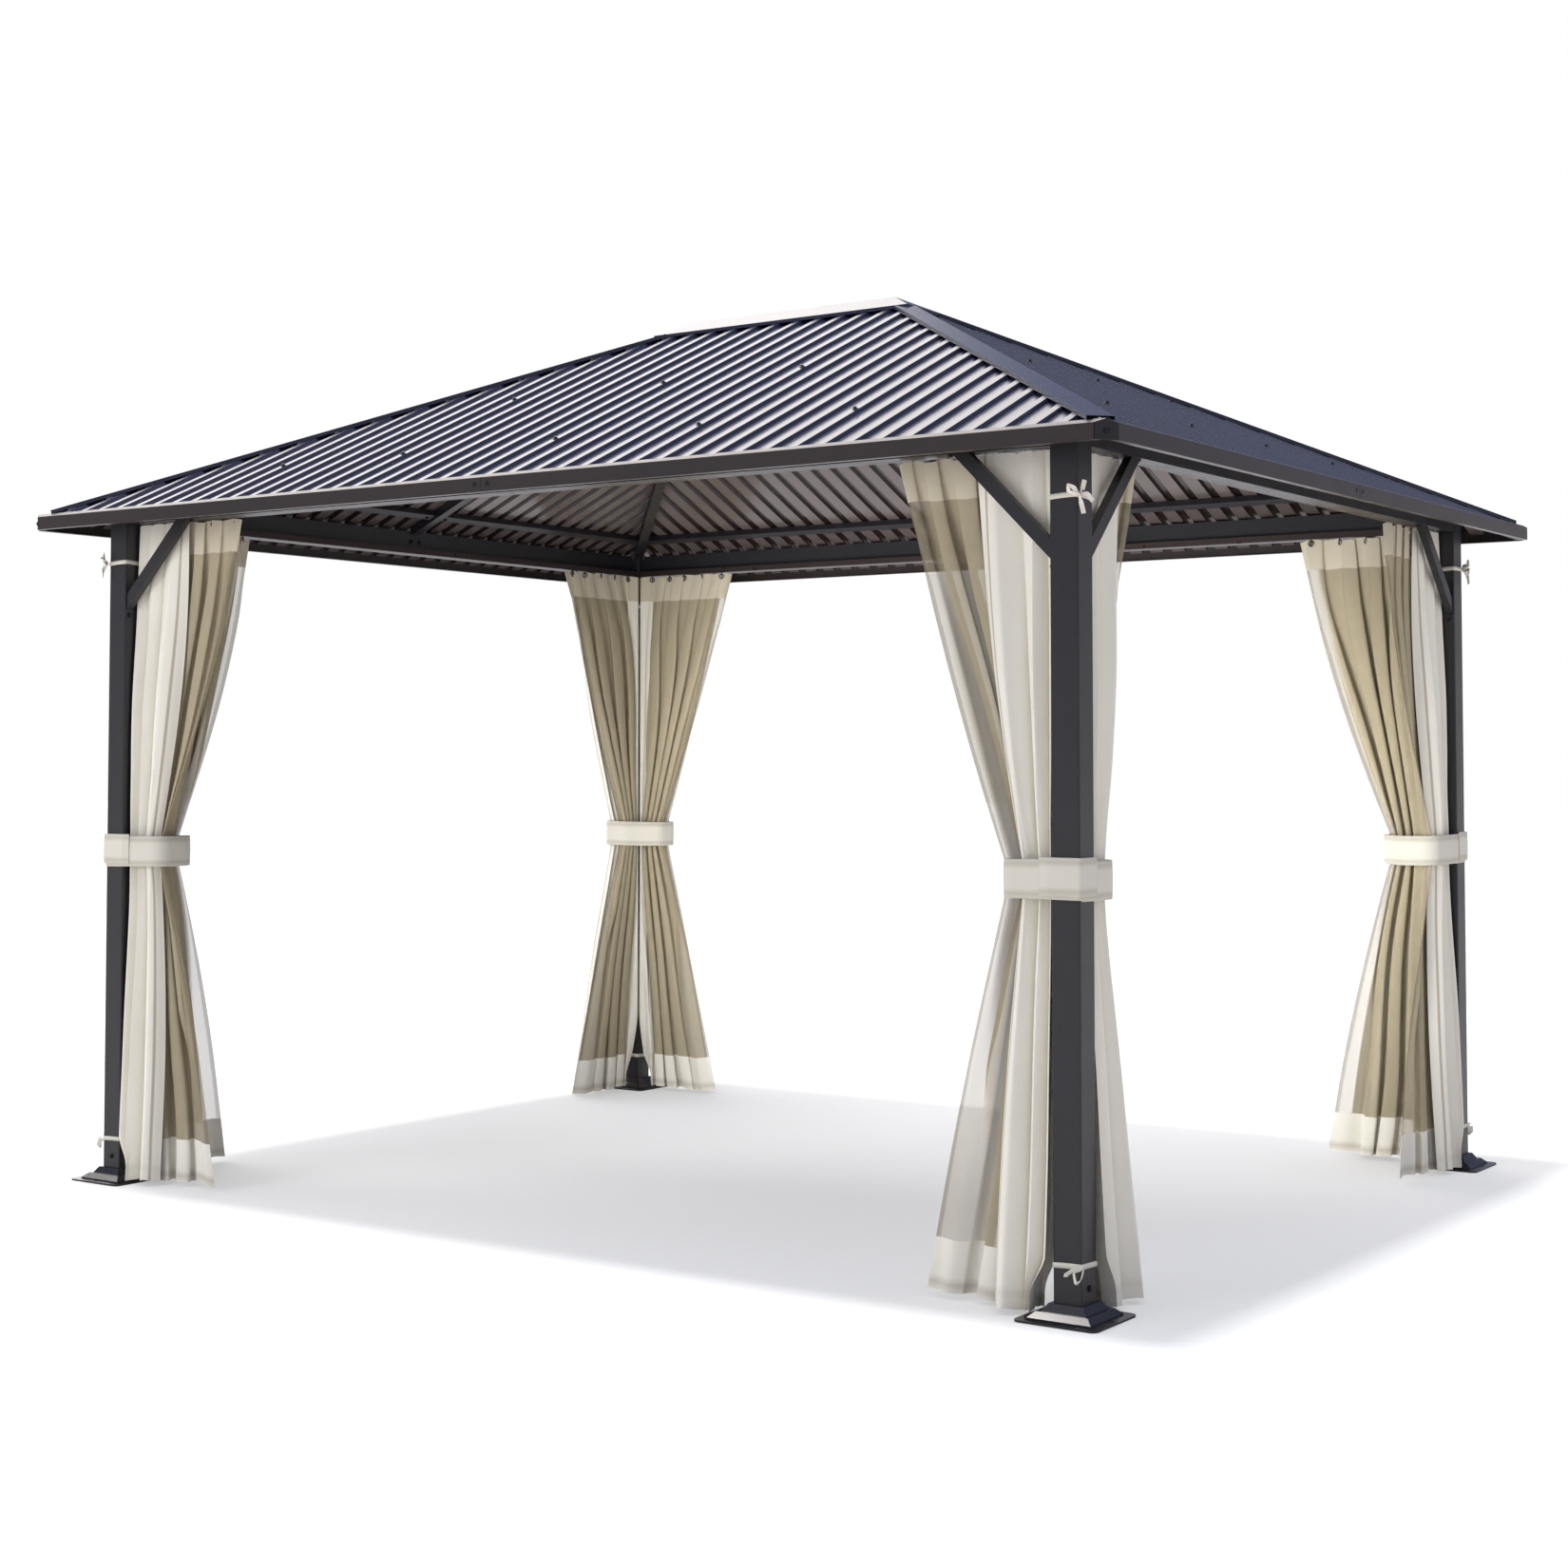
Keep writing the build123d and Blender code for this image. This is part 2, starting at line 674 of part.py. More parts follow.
for x, y in corner_signs.values():
    loop = [(x * (post_x - along), y * (post_y - inward)) for along, inward in band_outline]
    with BuildPart() as tie_band:
        with BuildSketch(Plane.XY.offset(tie_band_bottom)):
            with BuildLine():
                FilletPolyline(*loop, radius=list(band_outline.values()), close=True)
            make_face()
            offset(amount=tie_band_thickness)
        extrude(amount=tie_band_height)
        with BuildSketch(Plane.XY.offset(tie_band_bottom)):
            with BuildLine():
                FilletPolyline(*loop, radius=list(band_outline.values()), close=True)
            make_face()
        extrude(amount=tie_band_height, mode=Mode.SUBTRACT)
    band_list.append(tie_band.part)
with BuildPart() as tie_bands:
    add(band_list)
save(tie_bands.part, "tie_bands")
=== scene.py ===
# %% [markdown]
# # A metal gazebo with tied-back curtains
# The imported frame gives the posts, the beams and the ribbed hip roof. This lesson paints them and adds what
# a maker adds last: folded curtains and netting, tie bands, tapes, rings, screws and bolts. All of it could
# be placed by hand in the viewport. A script is used because it puts everything back when the frame changes.

from math import atan2, cos, pi, radians, sin, tan

import bpy
import numpy as np
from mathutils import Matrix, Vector
from mathutils.bvhtree import BVHTree


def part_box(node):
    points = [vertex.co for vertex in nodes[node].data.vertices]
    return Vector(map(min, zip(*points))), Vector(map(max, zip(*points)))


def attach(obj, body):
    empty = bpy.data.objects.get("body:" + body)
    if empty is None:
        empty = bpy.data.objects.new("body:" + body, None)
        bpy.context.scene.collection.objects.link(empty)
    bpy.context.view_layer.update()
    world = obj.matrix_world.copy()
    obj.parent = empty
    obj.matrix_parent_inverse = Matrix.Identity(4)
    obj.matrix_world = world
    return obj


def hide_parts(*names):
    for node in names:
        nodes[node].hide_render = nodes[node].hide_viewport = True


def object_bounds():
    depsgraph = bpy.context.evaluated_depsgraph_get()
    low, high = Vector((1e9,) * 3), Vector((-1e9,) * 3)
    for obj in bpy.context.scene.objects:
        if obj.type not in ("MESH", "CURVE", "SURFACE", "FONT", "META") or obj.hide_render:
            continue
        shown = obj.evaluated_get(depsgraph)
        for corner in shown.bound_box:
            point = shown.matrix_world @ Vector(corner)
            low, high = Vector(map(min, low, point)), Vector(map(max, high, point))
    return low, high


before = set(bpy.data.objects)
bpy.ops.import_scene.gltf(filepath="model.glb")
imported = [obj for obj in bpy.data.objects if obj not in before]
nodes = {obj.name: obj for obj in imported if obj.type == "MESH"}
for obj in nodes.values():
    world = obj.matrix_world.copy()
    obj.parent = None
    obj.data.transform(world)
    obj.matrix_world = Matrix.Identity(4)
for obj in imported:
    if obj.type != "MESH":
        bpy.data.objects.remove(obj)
cad_low, cad_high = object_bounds()
print("frame:", len(nodes), "nodes in a box of", cad_high - cad_low)

# %% [markdown]
# ## Measures taken from the frame
# The real cloth and fixings hang on posts, rails and fascias. Their places could be typed in, but they are
# read from the frame's own boxes, so that everything below follows when a size of the frame changes.

# %% Posts, rails and fascias
UP = Vector((0, 0, 1))
post_low, post_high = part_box("front_right_post")
post_x = (post_low.x + post_high.x) / 2
post_y = -(post_low.y + post_high.y) / 2
post_half = (post_high.x - post_low.x) / 2
beam_low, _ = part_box("front_beam")
rail_low, rail_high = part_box("curtain_rails")
band_low, band_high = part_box("tie_bands")
fascia_low, fascia_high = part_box("front_fascia")
brace_low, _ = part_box("knee_braces")
CORNERS = {"front_left": (-1, -1), "front_right": (1, -1), "back_right": (1, 1), "back_left": (-1, 1)}
print(f"post middles at {post_x:.3f} and {post_y:.3f} m, undersides of the rails at {rail_low.z:.3f} m")

# %% [markdown]
# ## Nodes and colours
# Every finish below is a small tree of nodes. It could be wired by hand in the shader editor. Here one
# function adds a node with its settings and links, so that a finish reads like a recipe. Colours are sRGB
# hex codes, as a screen shows them, and are turned into the linear light that the renderer works in.


# %% One function for all nodes
def linear(code):
    """The linear colour of an sRGB hex code, with full alpha."""
    parts = [int(code[k : k + 2], 16) / 255 for k in (1, 3, 5)]
    return tuple(c / 12.92 if c <= 0.04045 else ((c + 0.055) / 1.055) ** 2.4 for c in parts) + (1.0,)


def add(tree, kind, inputs=None, **settings):
    """A new node; each input gets a value, a hex colour or a link from another node's output."""
    node = tree.nodes.new(kind)
    for key, value in settings.items():
        setattr(node, key, value)
    for key, value in (inputs or {}).items():
        if isinstance(value, bpy.types.NodeSocket):
            tree.links.new(value, node.inputs[key])
        else:
            is_colour = isinstance(value, str) and value.startswith("#")
            node.inputs[key].default_value = linear(value) if is_colour else value
    return node


print("middle grey in linear light:", round(linear("#808080")[0], 3))

# %% [markdown]
# ## Finishes that drift and wear
# Real paint is never one flat colour: rain and dust change its tone over a hand's width and its gloss over a
# finger's. An image could be painted for that. Noise in millimetres was chosen because it needs no
# unwrapping and fits every piece, so each pattern below is given the real size of its grains.


# %% A finish with real sizes
class Look:
    """A material on the principled shader, with patterns of a real size."""

    def __init__(self, name, **plain):
        self.material = bpy.data.materials.new(name)
        self.material.use_nodes = True
        self.tree = self.material.node_tree
        self.shader = self.tree.nodes["Principled BSDF"]
        self.place = add(self.tree, "ShaderNodeTexCoord").outputs["Object"]
        for key, value in plain.items():
            self.shader.inputs[key.replace("_", " ")].default_value = value

    def give(self, key, out):
        """Links an output to one of the shader's inputs, in place of what was there."""
        self.tree.links.new(out, self.shader.inputs[key])

    def mottle(self, first, second, size_mm):
        """A base colour that drifts between two colours over a real distance."""
        inputs = {"Vector": self.place, "Scale": 1000 / size_mm, "Detail": 3.0}
        cloud = add(self.tree, "ShaderNodeTexNoise", inputs).outputs["Fac"]
        drift = add(self.tree, "ShaderNodeMix", {"Factor": cloud, "A": first, "B": second}, data_type="RGBA")
        self.give("Base Color", drift.outputs["Result"])
        return drift.outputs["Result"]

    def wear(self, low, high, size_mm):
        """A roughness that drifts between two values, as on handled or rained-on paint."""
        inputs = {"Vector": self.place, "Scale": 1000 / size_mm, "Detail": 4.0}
        cloud = add(self.tree, "ShaderNodeTexNoise", inputs).outputs["Fac"]
        span = add(self.tree, "ShaderNodeMapRange", {"Value": cloud, "To Min": low, "To Max": high})
        self.give("Roughness", span.outputs["Result"])

    def grain(self, size_mm, depth_mm, strength):
        """A fine noise bump of a real size."""
        inputs = {"Vector": self.place, "Scale": 1000 / size_mm, "Detail": 2.0}
        cloud = add(self.tree, "ShaderNodeTexNoise", inputs).outputs["Fac"]
        inputs = {"Height": cloud, "Strength": strength, "Distance": depth_mm / 1000}
        self.give("Normal", add(self.tree, "ShaderNodeBump", inputs).outputs["Normal"])


# %% [markdown]
# ## Coats of the frame
# Posts, beams and braces are steel tube under a baked powder coat, and the fascias have a browner one. One
# dark colour would do from afar, but it looks like plastic. A drifting gloss and a fine pebbling make it
# read as steel.

# %% Powder coats
# Powder coat on steel tube, sprayed and baked: finely pebbled, so its gleam is broad and soft.
frame_paint = Look("graphite_powder_coat")
frame_paint.mottle("#1F1E21", "#252428", 260)
frame_paint.wear(0.32, 0.44, 90)
frame_paint.grain(1.6, 0.05, 0.12)

# Gloss coat on the pressed foot covers and plates: smooth, so it shows bright, sharp gleams.
cover_paint = Look("gloss_graphite_coat")
cover_paint.mottle("#222125", "#28272B", 120)
cover_paint.wear(0.12, 0.18, 60)

# Powder coat on the rolled fascias: warmer, with a satin line of light along the eave.
fascia_paint = Look("brown_grey_powder_coat")
fascia_paint.mottle("#262120", "#2C2625", 300)
fascia_paint.wear(0.28, 0.4, 120)
fascia_paint.grain(1.4, 0.04, 0.1)

# Powder coat on the pressed corner caps: darker and more even than the fascias between them.
cap_paint = Look("black_brown_powder_coat", Roughness=0.36)
cap_paint.mottle("#1B1819", "#201D1E", 120)
cap_paint.grain(1.4, 0.04, 0.1)
print("coats:", [look.material.name for look in (frame_paint, cover_paint, fascia_paint, cap_paint)])

# %% [markdown]
# ## Rails and fixings
# Rails are extruded aluminium, screws and bolts are coated steel, eyelets are plated brass and hooks are
# nylon. They are only a few pixels wide, so that scratches wouldn't show. The right share of metal in the
# shader gives each its own glint, which does.

# %% Small metals and plastics
# Anodised aluminium, extruded: a brown-black skin with a silky gleam.
rail_metal = Look("dark_anodised_rail", Metallic=0.4)
rail_metal.mottle("#38302E", "#403836", 200)
rail_metal.wear(0.24, 0.34, 60)
# Steel roof screws under a dark coat: a dull glint, close to the colour of the roof.
screw_steel = Look("dark_coated_screw", Metallic=0.3, Roughness=0.35)
screw_steel.mottle("#18181F", "#202028", 6)
# Steel bolts with an oiled black oxide skin: dark, with a clear glint on the edges.
bolt_steel = Look("black_oxide_bolt", Metallic=0.6, Roughness=0.3)
bolt_steel.mottle("#202024", "#2B2B30", 6)
# Nickel-plated brass, pressed: bright rings that mirror the cloth.
ring_metal = Look("nickel_eyelet", Metallic=1.0, Roughness=0.18)
ring_metal.mottle("#C4C2BD", "#D2D0CB", 12)
# Moulded nylon hooks: plain black, with a soft gleam.
hook_plastic = Look("black_plastic_hook", Roughness=0.42)
hook_plastic.mottle("#111113", "#19191B", 15)
# Dark bars in the fascias' joints, with no gleam: painted shade that stands for the shadow in each gap.
joint_shadow = Look("painted_gap_shade", Roughness=0.8)
joint_shadow.mottle("#0E0D0E", "#151314", 15)
small = [rail_metal, screw_steel, bolt_steel, ring_metal, hook_plastic, joint_shadow]
print("small metals and plastics:", [look.material.name for look in small])

# %% [markdown]
# ## The roof's baked paint
# The roof is ribbed steel with baked paint, navy outside and grey-brown inside, and from below its hollow
# ribs get painted shade: a dark colour where their shadow would fall. The faces could be given two materials
# by hand. Here the material itself asks which way a face points and how far it lies from a rib, so it still
# fits when the sheet is cut anew.

# %% Roof steel
RIB_PITCH = 0.08
RIB_HALF = 0.016  # half the width of a rib's hollow, seen from below


def roof_look(name, axis):
    """Baked paint on ribbed steel: navy above, grey-brown below, with painted shade in the hollow ribs seen
    from below.
    """
    look = Look(name)
    tree = look.tree
    top = look.mottle("#25273A", "#2A2C40", 400)
    flat = look.mottle("#5E5553", "#665B59", 350)
    spot = add(tree, "ShaderNodeSeparateXYZ", {"Vector": look.place}).outputs[axis]
    from_rib = add(tree, "ShaderNodeMath", {0: spot, 1: RIB_PITCH / 2}, operation="PINGPONG").outputs["Value"]
    # Painted shade: faces in a rib's hollow, seen from below, get a dark colour where its shadow would fall.
    rib_painted_shade = add(tree, "ShaderNodeMath", {0: from_rib, 1: RIB_HALF}, operation="LESS_THAN").outputs["Value"]
    below = add(tree, "ShaderNodeMix", {"Factor": rib_painted_shade, "A": flat, "B": "#2A2220"}, data_type="RGBA")
    normal = add(tree, "ShaderNodeNewGeometry").outputs["Normal"]
    rise = add(tree, "ShaderNodeSeparateXYZ", {"Vector": normal}).outputs["Z"]
    facing_up = add(tree, "ShaderNodeMath", {0: rise, 1: 0.0}, operation="GREATER_THAN").outputs["Value"]
    inputs = {"Factor": facing_up, "A": below.outputs["Result"], "B": top}
    look.give("Base Color", add(tree, "ShaderNodeMix", inputs, data_type="RGBA").outputs["Result"])
    look.wear(0.19, 0.25, 150)
    return look


# Coil-coated steel sheet: hard, smooth and glossy, so it mirrors the sky along its ribs.
roof_looks = {"X": roof_look("baked_paint_steel_long", "X"), "Y": roof_look("baked_paint_steel_short", "Y")}
# The same sheet folded into caps over the hips and the ridge.
trim_paint = Look("baked_paint_trim")
trim_paint.mottle("#25273A", "#2A2C40", 300)
trim_paint.wear(0.19, 0.25, 150)
print(f"roof paint with a rib every {1000 * RIB_PITCH:.0f} mm")

# %% [markdown]
# ## Woven cloth and netting
# The drapes are plain woven polyester and the nets are fine mesh. Threads and holes could be modelled, but
# they would take millions of faces. A bump gives the weave, and a share of the area that lets light through
# gives the net. Real threads lie about 0.4 mm apart, too fine to show, so they are drawn three or
# four times as coarse.

# %% Cloth finishes
WEAVE_DEPTH = 0.0006
CLOTH_THREAD_MM, NET_THREAD_MM = 1.2083, 1.5708  # as drawn, coarser than the real threads
WAVE_LENGTH = 2 * pi / 20  # of Blender's wave texture at a scale of 1


def weave_bump(look, thread_mm, strength):
    """A plain weave that follows the cloth's own measures, as a bump."""
    threads = add(look.tree, "ShaderNodeUVMap", uv_map="cloth").outputs["UV"]
    waves = {}
    for k, direction in enumerate("XY"):
        inputs = {"Vector": threads, "Scale": 1000 * WAVE_LENGTH / thread_mm, "Distortion": 0.6, "Detail": 1.0}
        waves[k] = add(look.tree, "ShaderNodeTexWave", inputs, bands_direction=direction).outputs["Fac"]
    height = add(look.tree, "ShaderNodeMath", waves, operation="ADD").outputs["Value"]
    inputs = {"Height": height, "Strength": strength, "Distance": WEAVE_DEPTH}
    look.give("Normal", add(look.tree, "ShaderNodeBump", inputs).outputs["Normal"])


def cloth_look(name, first, second, thread):
    """Plain woven polyester: soft, with a faint sheen, and stitched where the piece's seam attribute says."""
    look = Look(name, Roughness=0.9, Sheen_Weight=0.12, Sheen_Roughness=0.5, Specular_IOR_Level=0.2)
    plain = look.mottle(first, second, 180)
    seam = add(look.tree, "ShaderNodeAttribute", attribute_name="seam").outputs["Fac"]
    sewn = add(look.tree, "ShaderNodeMix", {"Factor": seam, "A": plain, "B": thread}, data_type="RGBA")
    look.give("Base Color", sewn.outputs["Result"])
    weave_bump(look, CLOTH_THREAD_MM, 0.12)
    return look


def net_look(name, first, second, single, layered):
    """Knitted netting, see-through by a share of its area, and less so where its gather attribute is high."""
    look = Look(name, Roughness=0.85, Specular_IOR_Level=0.1)
    look.mottle(first, second, 40)
    gather = add(look.tree, "ShaderNodeAttribute", attribute_name="gather").outputs["Fac"]
    inputs = {0: gather, 1: layered - single, 2: single}
    look.give("Alpha", add(look.tree, "ShaderNodeMath", inputs, operation="MULTIPLY_ADD").outputs["Value"])
    weave_bump(look, NET_THREAD_MM, 0.2)
    return look


# Woven polyester of drapes, bows and the nets' bands: warm white, with soft shade in its folds.
ivory_cloth = cloth_look("ivory_polyester", "#E4E0D2", "#ECE8DC", "#B5AD9A")
# The same cloth sewn double for the tie bands: a little greyer and plainer.
band_cloth = cloth_look("band_polyester", "#CFCABC", "#D7D3C6", "#AAA290")
# Knitted polyester mesh: a khaki haze, denser where its layers meet.
netting = net_look("khaki_netting", "#A99E84", "#B2A78D", 0.52, 0.88)
# Woven band at the head of a net: a darker copy of the ivory cloth, painted shade for the roof's shade it
# hangs in.
net_head = cloth_look("painted_shade_polyester", "#C6BCA5", "#CFC6B1", "#A0977F")
# Mesh turned over at a net's free edge: a thin darker line.
net_hem = net_look("khaki_netting_hem", "#857A62", "#8E836B", 0.68, 0.80)
NET_LOOKS = [ivory_cloth, netting, net_hem, net_head]
print("cloths:", [look.material.name for look in NET_LOOKS + [band_cloth]])

# %% [markdown]
# ## Painting the frame
# Each node of the frame is one kind of real piece, so its name says what it is made of. Materials could be
# dragged on one by one, but a loop over the names can't forget one.

# %% A finish for every node
roof_nodes = {n: "X" if n.startswith(("front", "back")) else "Y" for n in nodes if n.endswith("roof_sheet")}
trim_nodes = [n for n in nodes if n.endswith("hip_cap") or n == "ridge_cap"]
for name, node in nodes.items():
    look, slot = frame_paint, "frame_paint"
    if name in roof_nodes:
        look, slot = roof_looks[roof_nodes[name]], "roof_steel"
    elif name in trim_nodes:
        look, slot = trim_paint, "roof_steel"
    elif name.endswith("fascia"):
        look = fascia_paint
    elif name == "corner_caps":
        look = cap_paint
    elif name in ("foot_covers", "foot_plates"):
        look = cover_paint
    elif name == "curtain_rails":
        look = rail_metal
    elif name.endswith("_curtain") or name == "tie_bands":
        look, slot = ivory_cloth, "curtain_fabric"
    node.data.materials.clear()
    node.data.materials.append(look.material)
print("roof sheets:", list(roof_nodes), "and", len(trim_nodes), "caps")

# %% [markdown]
# ## From points to pieces
# Cloth, tapes and hooks are worked out as points, so one function turns points and faces into an object.
# Objects could be moved into place, but here their place is in their points, as for the nodes of the frame.


# %% Pieces on the frame
def piece(name, verts, faces, looks, slot, smooth=True):
    """A mesh piece at the origin, with its place in its vertices, riding on the frame."""
    mesh = bpy.data.meshes.new(name)
    mesh.from_pydata([tuple(v) for v in verts], [], faces)
    for look in looks:
        mesh.materials.append(look.material)
    mesh.polygons.foreach_set("use_smooth", [smooth] * len(mesh.polygons))
    made = bpy.data.objects.new(name, mesh)
    bpy.context.scene.collection.objects.link(made)
    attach(made, "root")
    return made


def point_values(mesh, name, values):
    """One value at each point of a mesh, for its material to read."""
    mesh.attributes.new(name, "FLOAT", "POINT").data.foreach_set("value", np.array(values, np.float32).ravel())


# %% [markdown]
# ## Curves for cloth
# Hanging cloth changes shape smoothly: drawn in at its band, free at its hem, wandering between. A cloth
# simulation could find that too, but curves through a few heights can be matched to the real folds and are
# the same every time.


# %% Smooth curves, steps and ripples
def eased(stops, at):
    """A smooth curve through (place, value) stops, in rising order of place, that never overshoots them."""
    place, value = np.array(stops, float).T
    rise = np.diff(value) / np.diff(place)
    before, after = rise[:-1], rise[1:]
    level = before * after <= 0
    between = np.where(level, 0, 2 * before * after / np.where(level, 1, before + after))
    slope = np.concatenate([rise[:1], between, rise[-1:]])
    k = np.clip(np.searchsorted(place, at) - 1, 0, len(place) - 2)
    run = place[k + 1] - place[k]
    t = (at - place[k]) / run
    start = (2 * t**3 - 3 * t**2 + 1) * value[k] + (t**3 - 2 * t**2 + t) * run * slope[k]
    return start + (3 * t**2 - 2 * t**3) * value[k + 1] + (t**3 - t**2) * run * slope[k + 1]


def smooth_step(low, high, at):
    """0 up to one place and 1 from another on, with an even passage between them."""
    t = np.clip((at - low) / (high - low), 0, 1)
    return t * t * (3 - 2 * t)


def ripple(a, b, seed):
    """A smooth wandering value from -1 to 1 over two measures, the same on every run."""
    first = np.sin(1.7 * a + 2.3 * b + 3.1 * seed)
    second = np.sin(2.9 * a - 1.3 * b + 5.7 * seed)
    return (first + second + np.sin(-1.1 * a + 3.7 * b + 7.9 * seed)) / 3


# %% [markdown]
# ## Where the curtains hang
# Each post gathers two runs of cloth. On each run an ivory drape hangs on the outer track and a net with
# ivory bands hangs on the inner one. A place is given as *along* the rail from the post's middle and
# *inward* from the post's middle line, in metres. Both sheets could share one line, but
# they would cut through each other. So they keep to their own lanes, and only a net's free edge is drawn out
# past its drape, at the tie band.

# %% Lanes and spreads
RAIL_GAP = 0.0015
TOP = rail_low.z - RAIL_GAP
HEM = 0.009
BAND_LOW, BAND_HIGH = band_low.z, band_high.z
# Where each sheet begins beside the post, the middle of its lane and the swing of its folds, at some heights.
LEVELS = [HEM, 0.45, BAND_LOW, BAND_HIGH, 1.4, 1.72, TOP]
LANES = {
    "drape": {
        "near": [0.050, 0.045, 0.046, 0.046, 0.044, 0.044, 0.046],
        "lane": [-0.042, -0.018, 0.000, 0.000, 0.003, 0.011, 0.0117],
        "swing": [0.024, 0.026, 0.020, 0.020, 0.024, 0.015, 0.0045],
    },
    "net": {
        "near": [0.058, 0.054, 0.058, 0.058, 0.053, 0.052, 0.050],
        "lane": [0.018, 0.040, 0.050, 0.050, 0.052, 0.046, 0.0247],
        "swing": [0.022, 0.022, 0.020, 0.020, 0.020, 0.015, 0.0045],
    },
}
# How far each sheet reaches at its hem, at the tie band and at the rail, where its folds begin, and how far
# the net's free edge is drawn out past the drape at the band.
SPREADS = {
    "parted": {
        "drape": (0.196, 0.142, 0.256),
        "net": (0.400, 0.176, 0.475),
        "folds": ([0.0, 0.14, 0.46, 1.0], [0.45, 1.0, 2.0, 3.0]),
        "forward": 0.052,
    },
    "covered": {
        "drape": (0.350, 0.160, 0.435),
        "net": (0.395, 0.174, 0.475),
        "folds": ([0.0, 0.10, 0.27, 0.47, 0.71, 1.0], [0.45, 1.0, 2.0, 3.0, 4.0, 5.0]),
    },
    "slim": {
        "drape": (0.265, 0.146, 0.290),
        "net": (0.285, 0.174, 0.380),
        "folds": ([0.0, 0.15, 0.55, 1.0], [0.45, 1.0, 2.0, 3.0]),
    },
}
SPREAD_OF = {
    ("front_left", "long"): "parted",
    ("front_right", "long"): "parted",
    ("front_right", "short"): "slim",
    ("back_right", "short"): "parted",
}
print(f"cloth from {TOP:.3f} m down to {HEM:.3f} m, tied at {BAND_LOW:.3f} m")

# %% [markdown]
# ## Folds of a drape
# A drape is thick enough to fall in a few broad bulges with narrow valleys. A plain sine wave would look
# like a roof sheet, so the bulges are half waves of uneven widths, with small creases near the band.

# %% Drape
DRAPE_CLEAR = 0.014  # room that a drape leaves to the corner's other run
CREASES = 0.35  # how far from the band a drape has small creases


def drape_shape(share, height, level, folds, seed):
    """A drape: a few broad bulges toward the outside with narrow valleys, wider away from the post."""
    drift = 0.05 * ripple(2.6 * share, 1.7 * height, seed) * np.sin(pi * share)
    turn = np.interp(share + drift, *folds)
    bulge = np.abs(np.sin(pi * turn)) ** 1.1
    size = 0.85 + 0.15 * ripple(3.0 * share, 1.1 * height, seed + 2.0)
    crease = 0.10 * ripple(19.0 * share, 7.0 * height, seed)
    crease = crease * smooth_step(CREASES, 0.0, np.abs(height - BAND_HIGH))
    width = level["far"] - level["near"]
    along = level["near"] + width * (share - 0.018 * np.sin(4 * pi * turn) * np.sin(pi * share))
    inward = level["lane"] + level["swing"] * (1 - 2 * bulge * size + crease)
    return along, np.minimum(inward, along - DRAPE_CLEAR)


# %% [markdown]
# ## Folds of a net
# A net is light: it doubles back in close folds beside the post, hangs as one free layer beyond them and
# becomes even pleats under the rail. Each of these could be a sheet of its own, but one sheet that changes
# has no seams to hide.

# %% Net
NET_CLEAR = 0.004  # room that a net leaves to the corner's other run
NET_FOLDS = 5
PLEAT_FROM, PLEAT_FULL = 1.62, 1.84  # the heights between which a net's folds become pleats
FREE_SHARE, FREE_RISE = 0.64, 0.21  # where its free layer begins at the hem, and how much further on above
WING_EDGE, LAYER_EDGE = 0.08, 0.09  # how softly it begins in shape and in look
WING_CALM = 0.86  # how much flatter it hangs than the folds
NET_EDGE = 0.13


def free_from(height):
    """How far across a net its folds reach: past this share it hangs as one free layer."""
    return FREE_SHARE + FREE_RISE * smooth_step(0.2, 0.9, height)


def net_shape(share, height, level, _, seed):
    """A net: close folds that double back beside the post and a single free wing beyond them."""
    drift = 0.35 * ripple(3.1 * share, 1.9 * height, seed)
    turn = 2 * pi * (NET_FOLDS * share + drift)
    pleated = smooth_step(PLEAT_FROM, PLEAT_FULL, height)
    free = free_from(height)
    wing = smooth_step(free, free + WING_EDGE, share) * (1 - pleated)
    edge = smooth_step(0.02, NET_EDGE + 0.04, share)
    size = (1 - WING_CALM * wing) * edge * (0.9 + 0.1 * ripple(5.0 * share, 1.3 * height, seed + 1.0))
    broad = 0.5 * np.sin(2 * pi * (1.9 * share + 0.12 * seed))
    broad = broad * smooth_step(0.75, 0.15, height) * smooth_step(0.4, 0.6, share)
    width = level["far"] - level["near"]
    back = width / (2 * pi * NET_FOLDS) * (1.5 * (1 - pleated) * (1 - wing) + 0.9 * pleated) * edge
    along = level["near"] + width * share - back * np.sin(2 * turn) * np.sin(pi * share) ** 0.5
    inward = level["lane"] + level["swing"] * np.clip(np.sin(turn) * size + broad, -1, 1)
    inward = inward - level["forward"] * smooth_step(0.70, 0.92, share)
    at_post = smooth_step(0.10, 0.0, share) * smooth_step(0.10, 0.30, height)
    limit = along - NET_CLEAR
    return along, np.minimum(inward + (limit - inward) * at_post, limit)


# %% [markdown]
# ## Eyelets and hooks
# Pressed eyelets sit along a net's head, and a bent hook goes from each ring place up into the rail. A hook
# could be a curve object with a bevel. A bar swept along points is used, as it is a plain mesh at once.


# %% Rings and bars
def wrapped_faces(rows, columns, close_rows=False, close_columns=True):
    """The quads of a grid of points whose columns, rows or both close on themselves."""
    faces = []
    for r in range(rows if close_rows else rows - 1):
        for c in range(columns if close_columns else columns - 1):
            d, e = (c + 1) % columns, (r + 1) % rows
            faces.append((r * columns + c, r * columns + d, e * columns + d, e * columns + c))
    return faces


def ring_shape(radius, bar, flat, sides=28, around=10):
    """A pressed ring about Z: a bar of one radius, flattened along Z, bent round."""
    verts = []
    for k in range(sides):
        a = 2 * pi * k / sides
        for m in range(around):
            b = 2 * pi * m / around
            r = radius + bar * cos(b)
            verts.append((r * cos(a), r * sin(a), bar * flat * sin(b)))
    return verts, [(a, d, c, b) for a, b, c, d in wrapped_faces(sides, around, close_rows=True)]


